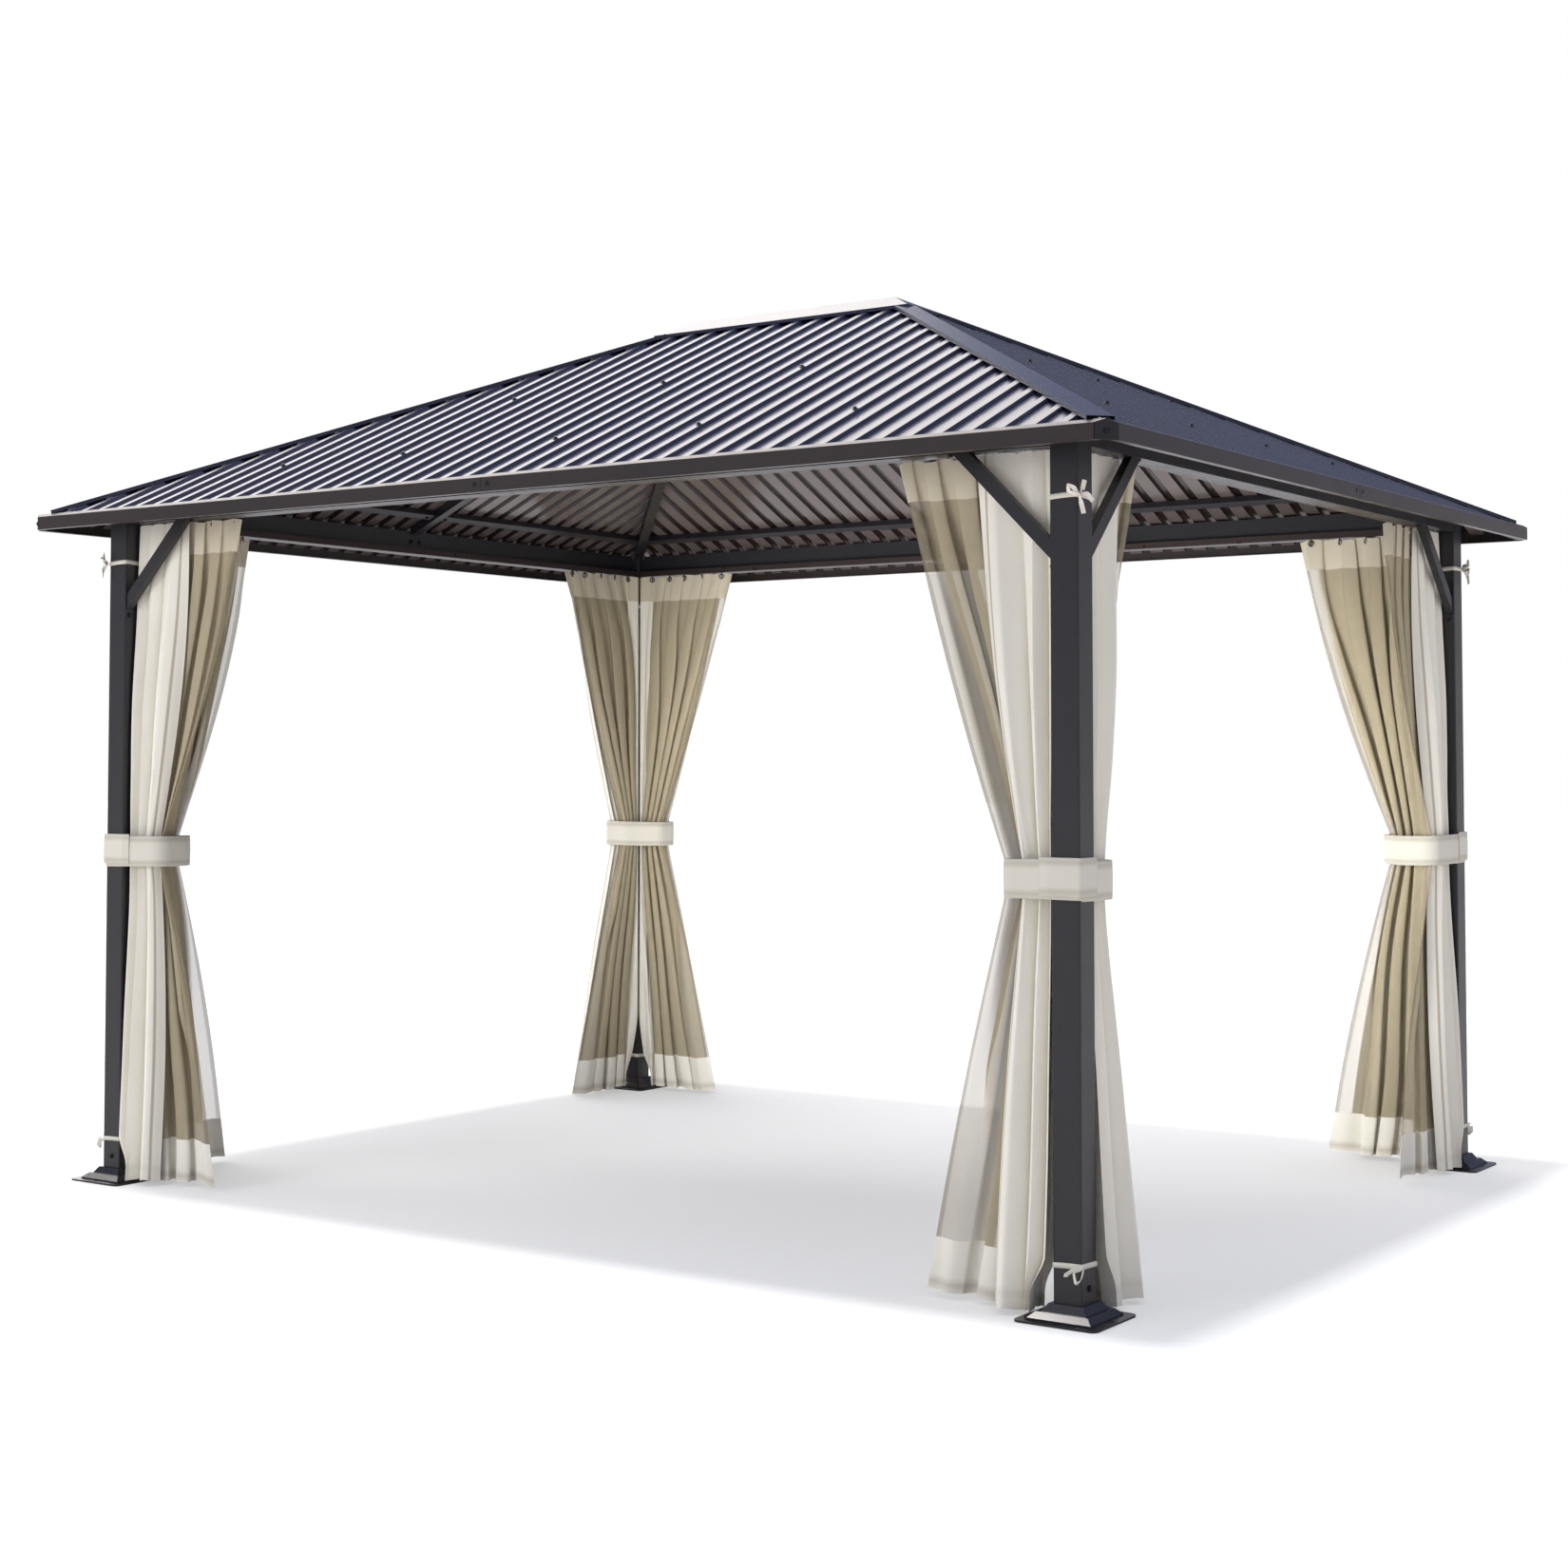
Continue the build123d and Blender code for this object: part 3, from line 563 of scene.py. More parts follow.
def tube(path, radius, sides=8):
    """A round bar along a path of points, with closed ends."""
    path = [Vector(p) for p in path]
    verts, side = [], None
    for k, point in enumerate(path):
        ahead = (path[min(k + 1, len(path) - 1)] - path[max(k - 1, 0)]).normalized()
        side = ahead.orthogonal() if side is None else side - ahead * side.dot(ahead)
        side.normalize()
        other = ahead.cross(side)
        for m in range(sides):
            b = 2 * pi * m / sides
            verts.append(point + (side * cos(b) + other * sin(b)) * radius)
    caps = [tuple(range(sides))[::-1], tuple(range((len(path) - 1) * sides, len(path) * sides))]
    return verts, caps + wrapped_faces(len(path), sides)


def curve_through(points, count):
    """Evenly many points on a smooth open curve through a few given ones."""
    points = [Vector(p) for p in points]
    at = np.linspace(0, len(points) - 1, count)
    stops = range(len(points))
    parts = [eased(list(zip(stops, [p[k] for p in points])), at) for k in range(3)]
    return [Vector(p) for p in zip(*parts)]


# %% Places of rings and hooks
RINGS = {"drape": 4, "net": 5}
RING_DROP, RING_PROUD = 0.013, 0.0035
RING_RADIUS, RING_BAR, RING_FLAT = 8.5, 2.6, 0.75  # in millimetres, and a share
HOOK_WIRE, HOOK_IN_RAIL = 0.0017, 0.002
# A hook's way, outward and up from its ring.
HOOK_ROUTE = ((0.0026, 0.003), (0.0024, -0.004), (0.0070, -0.001), (0.0060, 0.010))
ring_spots = []
hook_shapes = []


def add_rings(grid, row, count, inside, eyelets):
    """Hooks from the top of a sheet up to the rail, with eyelets where the sheet has them."""
    for k in range(count):
        c = int(round((k + 0.5) / count * (grid.shape[1] - 1)))
        centre = Vector(grid[row, c])
        across = Vector(grid[row, min(c + 2, grid.shape[1] - 1)] - grid[row, max(c - 2, 0)])
        facing = across.cross(UP).normalized()
        if facing.dot(inside) < 0:
            facing = -facing
        if eyelets:
            ring_spots.append((centre + facing * RING_PROUD, facing))
        head = Vector(grid[0, c])
        route = [centre + facing * outward + UP * rise for outward, rise in HOOK_ROUTE]
        route.append(Vector((head.x, head.y, rail_low.z + HOOK_IN_RAIL)))
        hook_shapes.append(tube(curve_through(route, 14), HOOK_WIRE))


# %% [markdown]
# ## Hanging a sheet
# A sheet is a grid of points from rail to hem: its lane and width change with the height, its foot is
# squeezed beside the foot cover, and its head sags between the rings. Its measures across and down go into a
# UV map, so that the weave follows the folds, and its stitches and layers into attributes that the materials
# read.

# %% Points of a sheet
SIDE_BOW, UPPER_BOW = 0.014, 1.6  # how far a free side bows out below the band, and how much more above it
FOOT_SIDE, FOOT_SQUEEZE = 0.087, 0.25  # where the cloth stands beside a foot cover, and how closely
FOOT_FROM, FOOT_FULL = 0.14, 0.045  # the heights between which it is squeezed there
SAG, SAG_REACH = {"drape": 0.003, "net": 0.007}, 0.22  # between the rings, and how far down it shows
HEM_LIFT, LIFT_FROM = 0.005, 0.5  # an uneven hem, and the height where that begins


def place_on_run(corner, run, along, inward, height):
    """Points of the frame from places beside a post."""
    x, y = CORNERS[corner]
    first, second = (along, inward) if run == "long" else (inward, along)
    return np.stack([x * (post_x - first), y * (post_y - second), height], -1)


def sheet_points(corner, run, kind, height, share, seed):
    """The points of a sheet, drawn in at the band, squeezed beside the foot and sagging between its rings."""
    shape = drape_shape if kind == "drape" else net_shape
    spread = SPREADS[SPREAD_OF.get((corner, run), "covered")]
    level = {key: eased(list(zip(LEVELS, values)), height) for key, values in LANES[kind].items()}
    hem, tie, head = spread[kind]
    below = np.clip((height - HEM) / (BAND_LOW - HEM), 0, 1)
    above = np.clip((height - BAND_HIGH) / (TOP - BAND_HIGH), 0, 1)
    tied = [HEM, BAND_LOW, BAND_HIGH, TOP]
    level["far"] = np.interp(height, tied, [hem, tie, tie, head])
    level["far"] += SIDE_BOW * (np.sin(pi * below) + UPPER_BOW * np.sin(pi * above))
    level["forward"] = spread.get("forward", 0.0) * np.interp(height, tied, [0, 1, 1, 0])
    along, inward = shape(share, height, level, spread["folds"], seed)
    beside = np.maximum(along, FOOT_SIDE + FOOT_SQUEEZE * (along - level["near"]))
    along = along + (beside - along) * smooth_step(FOOT_FROM, FOOT_FULL, height)
    hooked = np.abs(np.sin(pi * RINGS[kind] * share))
    sag = SAG[kind] * smooth_step(TOP - SAG_REACH, TOP, height) * (1 - hooked)
    lift = HEM_LIFT * (1 + ripple(6.0 * share, 0.0, seed)) * smooth_step(LIFT_FROM, HEM, height)
    return place_on_run(corner, run, along, inward, height - sag + lift)


# %% Bands and hems of a net
COLUMNS, ROWS = ((170, 130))
NET_TOP_BAND, NET_LOW_BAND = 0.10, 0.125
NET_HEM = 0.012
HEM_THIN, THIN_BELOW = 0.25, 0.2  # a net's layers part again toward its hem


def dress_net(mesh, faces, across, down, width, height, share):
    """A net's bands and hems, and where its layers lie together."""
    middle, side = (values[np.array(faces)].mean(1) for values in (down, across))
    column = np.array(faces)[:, 0] % COLUMNS / (COLUMNS - 1)
    cloth = (middle > TOP - HEM - NET_LOW_BAND) | (column < NET_EDGE)
    edge = side > width - NET_HEM
    # A net's head band takes the darker cloth with painted shade; its low band and near edge take plain ivory.
    slots = [NET_LOOKS.index(look) for look in (net_head, ivory_cloth, net_hem)]
    chosen = np.select([middle < NET_TOP_BAND, cloth, edge], slots, NET_LOOKS.index(netting))
    mesh.polygons.foreach_set("material_index", chosen.astype(np.int32))
    free = free_from(height)
    layered = smooth_step(free + LAYER_EDGE, free, share)
    point_values(mesh, "gather", layered * (1 - HEM_THIN * smooth_step(BAND_LOW, THIN_BELOW, height)))


# %% Hanging one sheet
UPPER_ROWS, LOWER_ROWS = ROWS * 6 // 11, ROWS * 5 // 11
DRAPE_STITCHES = {"low": 0.04, "side": 0.03}  # from the edges of a drape
NET_STITCHES = {"top": 0.012, "low": 0.010, "hem": 0.014}  # from the edges of a net's bands


def near_line(at, line, half=0.0035):
    """1 on a stitched line and 0 away from it."""
    return np.clip(1.6 - np.abs(at - line) / half, 0, 1)


def grid_faces(rows, columns):
    """The quads of a grid of points, row by row."""
    corner = np.arange(rows * columns).reshape(rows, columns)
    quads = [corner[:-1, :-1], corner[1:, :-1], corner[1:, 1:], corner[:-1, 1:]]
    return np.stack(quads, -1).reshape(-1, 4).tolist()


def hang(corner, run, kind, seed):
    """One sheet of cloth from its rail to its hem, with its stitches, rings and hooks."""
    upper, lower = np.linspace(TOP, BAND_HIGH, UPPER_ROWS), np.linspace(BAND_HIGH, HEM, LOWER_ROWS)
    height = np.concatenate([upper, lower[1:]])[:, None]
    share = np.linspace(0, 1, COLUMNS)[None, :]
    grid = sheet_points(corner, run, kind, height, share, seed)
    faces = grid_faces(len(height), COLUMNS)
    looks = [ivory_cloth] if kind == "drape" else NET_LOOKS
    made = piece(f"{corner}_{run}_{kind}", grid.reshape(-1, 3), faces, looks, "curtain_fabric")
    steps = np.linalg.norm(np.diff(grid, axis=1, prepend=grid[:, :1]), axis=2)
    across = np.cumsum(steps, axis=1)
    width = float(across[:, -1].mean())
    across = (across / across[:, -1:] * width).reshape(-1)
    length = TOP - HEM
    down = np.repeat(TOP - height[:, 0], COLUMNS)
    mesh = made.data
    uv = mesh.uv_layers.new(name="cloth")
    corner_of = np.zeros(len(mesh.loops), int)
    mesh.loops.foreach_get("vertex_index", corner_of)
    uv.data.foreach_set("uv", np.stack([across, down], -1)[corner_of].astype(np.float32).ravel())
    if kind == "drape":
        lines = [
            near_line(down, length - DRAPE_STITCHES["low"]),
            near_line(width - across, DRAPE_STITCHES["side"]),
        ]
    else:
        lines = [
            near_line(down, NET_TOP_BAND - NET_STITCHES["top"]),
            near_line(down, length - NET_LOW_BAND + NET_STITCHES["low"]),
            near_line(down, length - NET_STITCHES["hem"]),
        ]
        dress_net(mesh, faces, across, down, width, height, share)
    point_values(mesh, "seam", np.max(lines, axis=0))
    x, y = CORNERS[corner]
    inside = Vector((0, -y, 0)) if run == "long" else Vector((-x, 0, 0))
    row = int(np.argmin(np.abs(TOP - RING_DROP - height[:, 0])))
    add_rings(grid, row, RINGS[kind], inside, kind == "net")
    if kind == "drape":
        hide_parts(f"{corner}_{run}_curtain")


# %% Sixteen sheets
for turn, corner in enumerate(CORNERS):
    for run in ("long", "short"):
        for kind in RINGS:
            hang(corner, run, kind, seed=1.7 * turn + (0.9 if run == "short" else 0.0))
print("hung", len(CORNERS) * 2 * len(RINGS), "sheets with", len(ring_spots), "eyelets")

# %% [markdown]
# ## Copies by Geometry Nodes
# Eyelets, screws and bolts are one shape many times over. They could be duplicated by hand. Geometry Nodes
# set a copy on each point and turn it to that point's own direction, and the copies are made real, because
# the export drops instances.

# %% Copies on points
MILLIMETRE = 0.001


def joined(*parts):
    """Several (verts, faces) shapes as one."""
    verts, faces = [], []
    for some, quads in parts:
        faces += [tuple(i + len(verts) for i in quad) for quad in quads]
        verts += [tuple(v) for v in some]
    return verts, faces


def scatter(name, shape, spots, look):
    """Copies of one small shape, drawn in millimetres, on points that each have their own direction."""
    pattern = bpy.data.objects.new(name + "_shape", bpy.data.meshes.new(name + "_shape"))
    pattern.data.from_pydata(shape[0], [], shape[1])
    points = bpy.data.meshes.new(name)
    points.from_pydata([tuple(place) for place, _ in spots], [], [])
    facing = points.attributes.new("facing", "FLOAT_VECTOR", "POINT")
    facing.data.foreach_set("vector", np.array([tuple(f) for _, f in spots], np.float32).ravel())
    made = bpy.data.objects.new(name, points)
    for each in (pattern, made):
        bpy.context.scene.collection.objects.link(each)
    tree = bpy.data.node_groups.new(name, "GeometryNodeTree")
    for direction in ("INPUT", "OUTPUT"):
        tree.interface.new_socket("Geometry", in_out=direction, socket_type="NodeSocketGeometry")
    size = tree.interface.new_socket("Millimetre", in_out="INPUT", socket_type="NodeSocketFloat")
    given = add(tree, "NodeGroupInput").outputs
    source = add(tree, "GeometryNodeObjectInfo", {"Object": pattern}).outputs["Geometry"]
    vector = add(tree, "GeometryNodeInputNamedAttribute", {"Name": "facing"}, data_type="FLOAT_VECTOR")
    turn = add(tree, "FunctionNodeAlignRotationToVector", {"Vector": vector.outputs["Attribute"]}, axis="Z")
    inputs = {"Points": given["Geometry"], "Instance": source, "Scale": given["Millimetre"]}
    copies = add(tree, "GeometryNodeInstanceOnPoints", {**inputs, "Rotation": turn.outputs["Rotation"]})
    real = add(tree, "GeometryNodeRealizeInstances", {"Geometry": copies.outputs["Instances"]})
    inputs = {"Geometry": real.outputs["Geometry"], "Material": look.material}
    paint = add(tree, "GeometryNodeSetMaterial", inputs)
    add(tree, "NodeGroupOutput", {"Geometry": paint.outputs["Geometry"]})
    step = made.modifiers.new("copies", "NODES")
    step.node_group = tree
    step[size.identifier] = MILLIMETRE
    made.data = bpy.data.meshes.new_from_object(made.evaluated_get(bpy.context.evaluated_depsgraph_get()))
    made.modifiers.remove(step)
    bpy.data.meshes.remove(points)
    bpy.data.objects.remove(pattern)
    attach(made, "root")
    print(f"{name}: {len(spots)} copies")


scatter("curtain_eyelets", ring_shape(RING_RADIUS, RING_BAR, RING_FLAT), ring_spots, ring_metal)
piece("curtain_hooks", *joined(*hook_shapes), [hook_plastic], "frame_paint")

# %% [markdown]
# ## Tie bands
# A tie band is a strip of the same cloth round the post and its two gathered runs, with a tab that closes it.
# A curve with a flat bevel could make it. A strip of points is used, because it can bow, wave and carry its
# stitches.


# %% Strips of cloth
def rounded_loop(points, radii, step=0.004):
    """A closed loop through corner points, with each corner rounded, as evenly spaced points."""
    path = []
    count = len(points)
    for k in range(count):
        here = Vector(points[k])
        before = (Vector(points[k - 1]) - here).normalized()
        after = (Vector(points[(k + 1) % count]) - here).normalized()
        half = before.angle(after) / 2
        reach = radii[k] / tan(half)
        start, end = here + before * reach, here + after * reach
        middle = here + (before + after).normalized() * (radii[k] / sin(half))
        a0 = atan2(start.y - middle.y, start.x - middle.x)
        turn = atan2(end.y - middle.y, end.x - middle.x) - a0
        turn = (turn + pi) % (2 * pi) - pi
        for t in np.linspace(0, 1, 9):
            path.append(middle + Vector((cos(a0 + turn * t), sin(a0 + turn * t))) * radii[k])
    closed = path + [path[0]]
    lengths = np.cumsum([0.0] + [(b - a).length for a, b in zip(closed, closed[1:])])
    at = np.linspace(0, lengths[-1], int(lengths[-1] / step))[:-1]
    xs = np.interp(at, lengths, [p.x for p in closed])
    ys = np.interp(at, lengths, [p.y for p in closed])
    return np.stack([xs, ys], -1), float(lengths[-1])


STITCHED_WIDTH, STITCH_INSET, STITCH_SHARE = 0.05, 0.012, 0.6


def strip(name, path, low, high, thickness, lift, closed=True, rows=9, bow=0.0015):
    """A strip of cloth on edge along a plan path, bowed outward; a wide one is stitched near its edges."""
    path = np.array(path)
    ahead = np.roll(path, -1, 0) - np.roll(path, 1, 0)
    if not closed:
        ahead[0], ahead[-1] = path[1] - path[0], path[-1] - path[-2]
    ahead /= np.linalg.norm(ahead, axis=1)[:, None]
    outward = np.stack([ahead[:, 1], -ahead[:, 0]], -1)
    if np.sum(outward * (path - path.mean(0))) < 0:
        outward = -outward
    verts, marks, measures = [], [], []
    shares = np.linspace(0, 1, rows)
    profile = [(s, thickness) for s in shares] + [(s, 0.0) for s in shares[::-1]]
    along = np.cumsum(np.linalg.norm(np.diff(path, axis=0, prepend=path[:1]), axis=1))
    stitched = high - low > STITCHED_WIDTH
    for share, out in profile:
        for k, (point, side) in enumerate(zip(path, outward)):
            place = point + side * (out + (bow * sin(pi * share) if out else 0.0))
            height = low + (high - low) * share + lift(along[k])
            verts.append((place[0], place[1], height))
            near_edge = 0 < share < 1 and min(share, 1 - share) * (high - low) < STITCH_INSET
            marks.append(STITCH_SHARE if out and stitched and near_edge else 0.0)
            measures.append((along[k], share * (high - low)))
    rows_all, columns = len(profile), len(path)
    faces = wrapped_faces(rows_all, columns, close_rows=True, close_columns=closed)
    if not closed:
        for r in range(rows - 1):
            back = rows_all - 1 - r
            for c, order in ((0, 1), (columns - 1, -1)):
                ends = [at * columns + c for at in (r, r + 1, back - 1, back)]
                faces.append(tuple(ends[::order]))
    made = piece(name, verts, faces, [band_cloth], "curtain_fabric")
    uv = made.data.uv_layers.new(name="cloth")
    for loop in made.data.loops:
        uv.data[loop.index].uv = measures[loop.vertex_index]
    point_values(made.data, "seam", marks)
    return made


def beside_post(corner, plan):
    """Plan points of the frame from (along, inward) places about a post's middle."""
    x, y = CORNERS[corner]
    plan = np.array(plan)
    return np.stack([x * (post_x - plan[:, 0]), y * (post_y - plan[:, 1])], -1)


# %% Bands and tabs
SLACK = 0.0008  # between a post and what is tied round it
near_reach = post_half + SLACK
BAND_OUT, BAND_SIDE, BAND_TURN = 0.1825, 0.0155, 0.0835  # round the two gathered runs
band_points = [
    (-near_reach, -near_reach), (near_reach, -near_reach), (BAND_OUT, -BAND_SIDE), (BAND_OUT, BAND_TURN),
    (BAND_TURN, BAND_OUT), (-BAND_SIDE, BAND_OUT), (-near_reach, near_reach),
]
TIGHT, LOOSE = 0.005, 0.045
band_radii = [TIGHT, TIGHT, LOOSE, LOOSE, LOOSE, LOOSE, TIGHT]
BAND_THICK = 0.0022
BAND_WAVE = 0.003
TAB_LOW, TAB_HIGH = 0.010, 0.008  # how much higher than its band a tab begins and ends
TAB_PROUD, TAB_BEND, TAB_TUCK = 0.0042, 0.003, 0.0055
TAB_START, TAB_END, TAB_POINTS = 0.066, 0.034, 60
tab_reach = near_reach + TAB_PROUD
flap = [
    (TAB_START, -tab_reach + TAB_TUCK), (tab_reach, -tab_reach), (0.0, -tab_reach),
    (-tab_reach + TAB_BEND, -tab_reach), (-tab_reach, -tab_reach + TAB_BEND),
    (-tab_reach, 0.0), (-tab_reach, TAB_END),
]
stops = range(len(flap))
flap = np.stack([np.interp(np.linspace(0, stops[-1], TAB_POINTS), stops, values) for values in zip(*flap)], -1)
for turn, corner in enumerate(CORNERS):
    loop, around = rounded_loop(band_points, band_radii)
    band = strip(
        f"{corner}_tie_band", beside_post(corner, loop), BAND_LOW, BAND_HIGH, BAND_THICK,
        lambda s, k=turn: BAND_WAVE * sin(7 * s + k),
    )
    tab = strip(
        f"{corner}_tie_tab", beside_post(corner, flap), BAND_LOW + TAB_LOW, BAND_HIGH + TAB_HIGH, BAND_THICK,
        lambda s: 0.0, closed=False,
    )
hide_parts("tie_bands")

# %% [markdown]
# ## Tapes and bows
# Thin tapes, sewn to the drapes' edges, are tied round each post near its top and near its foot. A simulated
# knot would take long for a few pixels, so a bow is a loop and some tails, each a ribbon along a few given
# points.

# %% Tapes
TAPE = 0.012
TAPE_THICK = 0.0011
TAPE_HEIGHTS = {"upper": 1.842, "lower": 0.116}
TAPE_SLOPES = {"upper": 0.004, "lower": 0.0025}
TAPE_CORNER = 0.004
KNOT_PROUD = 0.005
BOW_WIDTH = 0.0105
# The bows' loops and tails, as places to the right, outward and up from the knot.
BOWS = {
    "upper": {
        "loop": [
            (0, 0, 0), (-0.016, 0.020, 0.014), (-0.030, 0.018, 0.020), (-0.027, 0.014, 0.008),
            (-0.010, 0.012, 0.002), (0, 0.004, 0),
        ],
        "tail_up": [(0.002, 0.002, 0), (0.006, 0.012, 0.014), (0.011, 0.012, 0.034)],
        "tail_down": [(0.001, 0.004, 0), (0.002, 0.014, -0.018), (0.008, 0.014, -0.042)],
        "tail_side": [(0.002, 0.002, 0), (0.016, 0.010, 0.003), (0.033, 0.002, -0.012)],
    },
    "lower": {
        "loop": [
            (-0.004, 0.002, 0), (-0.022, 0.006, -0.006), (-0.017, 0.008, -0.030), (-0.006, 0.010, -0.020),
            (0.001, 0.004, -0.002),
        ],
        "tail_side": [(0.0, 0.002, 0.002), (-0.020, 0.005, 0.000), (-0.044, 0.004, -0.014)],
    },
}


def ribbon(name, points, across, width, count=26):
    """A free length of tape along a smooth path, with its width along a direction that may turn."""
    path = curve_through(points, count)
    wide = [Vector(a).normalized() for a in np.linspace(across[0], across[-1], count)]
    verts = []
    for k, (point, side) in enumerate(zip(path, wide)):
        ahead = (path[min(k + 1, count - 1)] - path[max(k - 1, 0)]).normalized()
        side = (side - ahead * side.dot(ahead)).normalized() * width / 2
        skin = ahead.cross(side).normalized() * TAPE_THICK / 2
        verts += [point - side - skin, point + side - skin, point + side + skin, point - side + skin]
    faces = [(3, 2, 1, 0), tuple(range(4 * count - 4, 4 * count))] + wrapped_faces(count, 4)
    made = piece(name, verts, faces, [ivory_cloth], "curtain_fabric", smooth=False)
    made.data.uv_layers.new(name="cloth")
    made.data.attributes.new("seam", "FLOAT", "POINT")


square = [(x * near_reach, y * near_reach) for x, y in CORNERS.values()]
for turn, (corner, (x, y)) in enumerate(CORNERS.items()):
    for end, height in TAPE_HEIGHTS.items():
        loop, around = rounded_loop(square, [TAPE_CORNER] * 4, step=0.003)
        tape = strip(
            f"{corner}_{end}_tape", beside_post(corner, loop), height, height + TAPE, TAPE_THICK,
            lambda s, k=turn, m=TAPE_SLOPES[end], whole=around: m * sin(2 * pi * s / whole + 1.3 * k),
            rows=3, bow=0.0006,
        )
        edge = Vector((x * (post_x + post_half), y * (post_y + post_half), height + TAPE / 2))
        out = Vector((x, y, 0)).normalized()
        right = Vector((1, 1, 0)).normalized() if x * y < 0 else Vector((1, -1, 0)).normalized()
        knot = edge + out * KNOT_PROUD
        for part, places in BOWS[end].items():
            points = [knot + right * a + out * b + UP * c for a, b, c in places]
            across = [UP + out * 0.5, right * 0.7 + UP * 0.4]
            if part == "loop":
                across = [out * 0.4 + UP * 0.9, out * 0.9 + UP * 0.4]
            ribbon(f"{corner}_{end}_{part}", points, across, BOW_WIDTH)
print("tied", len(TAPE_HEIGHTS) * len(CORNERS), "tapes")

# %% [markdown]
# ## Roof screws
# The sheets are held by rows of screws with washers. Their heights could be worked out from the slope.
# Instead a ray finds the surface that carries each one, so a screw always sits on the sheet or tube that it
# holds.

# %% Finding a surface
SIDES = {
    "front": Vector((0, -1, 0)),
    "right": Vector((1, 0, 0)),
    "back": Vector((0, 1, 0)),
    "left": Vector((-1, 0, 0)),
}
surfaces = {}


def eave_of(side):
    """How far a side's eave lies from the middle, and the direction along it."""
    if side in ("front", "back"):
        return cad_high.y, Vector((1, 0, 0))
    return cad_high.x, Vector((0, 1, 0))


def found(node, start, direction):
    """The place and outward direction where a line from a point first meets a node's surface."""
    if node not in surfaces:
        mesh = nodes[node].data
        places = [v.co for v in mesh.vertices]
        surfaces[node] = BVHTree.FromPolygons(places, [p.vertices for p in mesh.polygons])
    place, normal, _, _ = surfaces[node].ray_cast(Vector(start), Vector(direction).normalized())
    if normal.dot(Vector(direction)) > 0:
        normal = -normal
    return place, normal


def turned(profile, sides):
    """A shape turned about Z from (radius, height) points, closed at its last point."""
    angles = [2 * pi * k / sides for k in range(sides)]
    verts = [(r * cos(a), r * sin(a), z) for r, z in profile for a in angles]
    rows = len(profile)
    return verts, wrapped_faces(rows, sides) + [tuple(range((rows - 1) * sides, rows * sides))]


# %% Screws on the roof
# The fixings are drawn in millimetres, from their washer or rim up to their head.
roof_screw = joined(
    turned([(7.8, 0.0), (7.8, 1.2), (6.6, 2.2), (4.5, 2.4)], 18),
    turned([(4.6, 2.2), (4.6, 5.6), (4.0, 6.4)], 6),
)
# Rows of roof screws: how far in from the eave each lies, and its screws' places along the eave.
LONG_ROWS = ((0.30, (-1.04, -0.56, 0.0, 0.48, 0.96)), (0.775, (-0.56, 0.0, 0.48)))
SHORT_ROWS = ((0.30, (-0.88, -0.40, 0.08, 0.56, 1.04)), (0.775, (-0.40, 0.0, 0.48)))
SCREW_ROWS = {"front": LONG_ROWS, "right": SHORT_ROWS, "back": LONG_ROWS, "left": SHORT_ROWS}
ABOVE, BELOW, AWAY = 4, 1.5, 0.5  # where the searches start: over the roof, under the beams and outside
screws = []
for side, out in SIDES.items():
    eave, along = eave_of(side)
    for inset, places in SCREW_ROWS[side]:
        for place in places:
            start = out * (eave - inset) + along * place + UP * ABOVE
            screws.append(found(f"{side}_roof_sheet", start, -UP))
scatter("roof_screws", roof_screw, screws, screw_steel)

# %% [markdown]
# ## Bolts, fascia screws and joints
# Bolts close the corner caps, posts, braces and beams, and flat screws hold the fascias beside their middle
# joints. A joint could be cut into the fascia. A thin dark bar set into it, painted shade in place of the
# gap's shadow, looks the same and leaves the frame alone.

# %% Bolts and joints
hex_bolt = joined(
    turned([(8.2, 0.0), (8.2, 1.2), (7.6, 1.7), (6.0, 1.7)], 20),
    turned([(6.2, 1.6), (6.2, 5.0), (5.4, 5.8)], 6),
)
flat_screw = turned([(7.5, 0.0), (7.2, 0.6), (6.0, 1.1), (3.4, 1.3), (3.0, 0.6)], 20)
bolts, flats, joints = [], [], []
FASCIA_DROP = 0.004  # how far below the middle of a fascia its screws sit
FASCIA_MIDDLE = (fascia_low.z + fascia_high.z) / 2 - FASCIA_DROP
CAP_INSET = 0.0103
POST_BOLT_HEIGHT = 0.072
POST_BOLTS = {"front_left": "front", "front_right": "right", "back_right": "back", "back_left": "left"}
BRACE_LINE, BRACE_DROP, BRACE_REACH = 0.020, 0.016, 0.305  # bolts at a brace's two ends
FASCIA_SCREWS = (-0.022, 0.022)
BEAM_BOLTS, BEAM_INSET, BEAM_RISE = (-0.105, -0.045, 0.045, 0.105), 0.06, 0.030  # outside, over a beam's joint
RAFTER_BOLTS, PURLIN_INSET = (-0.045, 0.045), 0.306  # under the foot of a middle rafter
INNER_SHARE, INNER_RISE = 0.45, 0.024  # inside, over the curtain rail
JOINT_HALF, JOINT_DEPTHS = 0.0009, (-0.001, 0.0003)
JOINT_LOW, JOINT_HIGH = 0.0015, 0.0125
BOX_FACES = [(0, 1, 5, 4), (1, 2, 6, 5), (2, 3, 7, 6), (3, 0, 4, 7), (4, 5, 6, 7), (3, 2, 1, 0)]
for corner, (x, y) in CORNERS.items():
    out = Vector((x, y, 0)).normalized()
    face = Vector((x * (cad_high.x - CAP_INSET), y * (cad_high.y - CAP_INSET), FASCIA_MIDDLE))
    bolts.append(found("corner_caps", face + out * AWAY, -out))
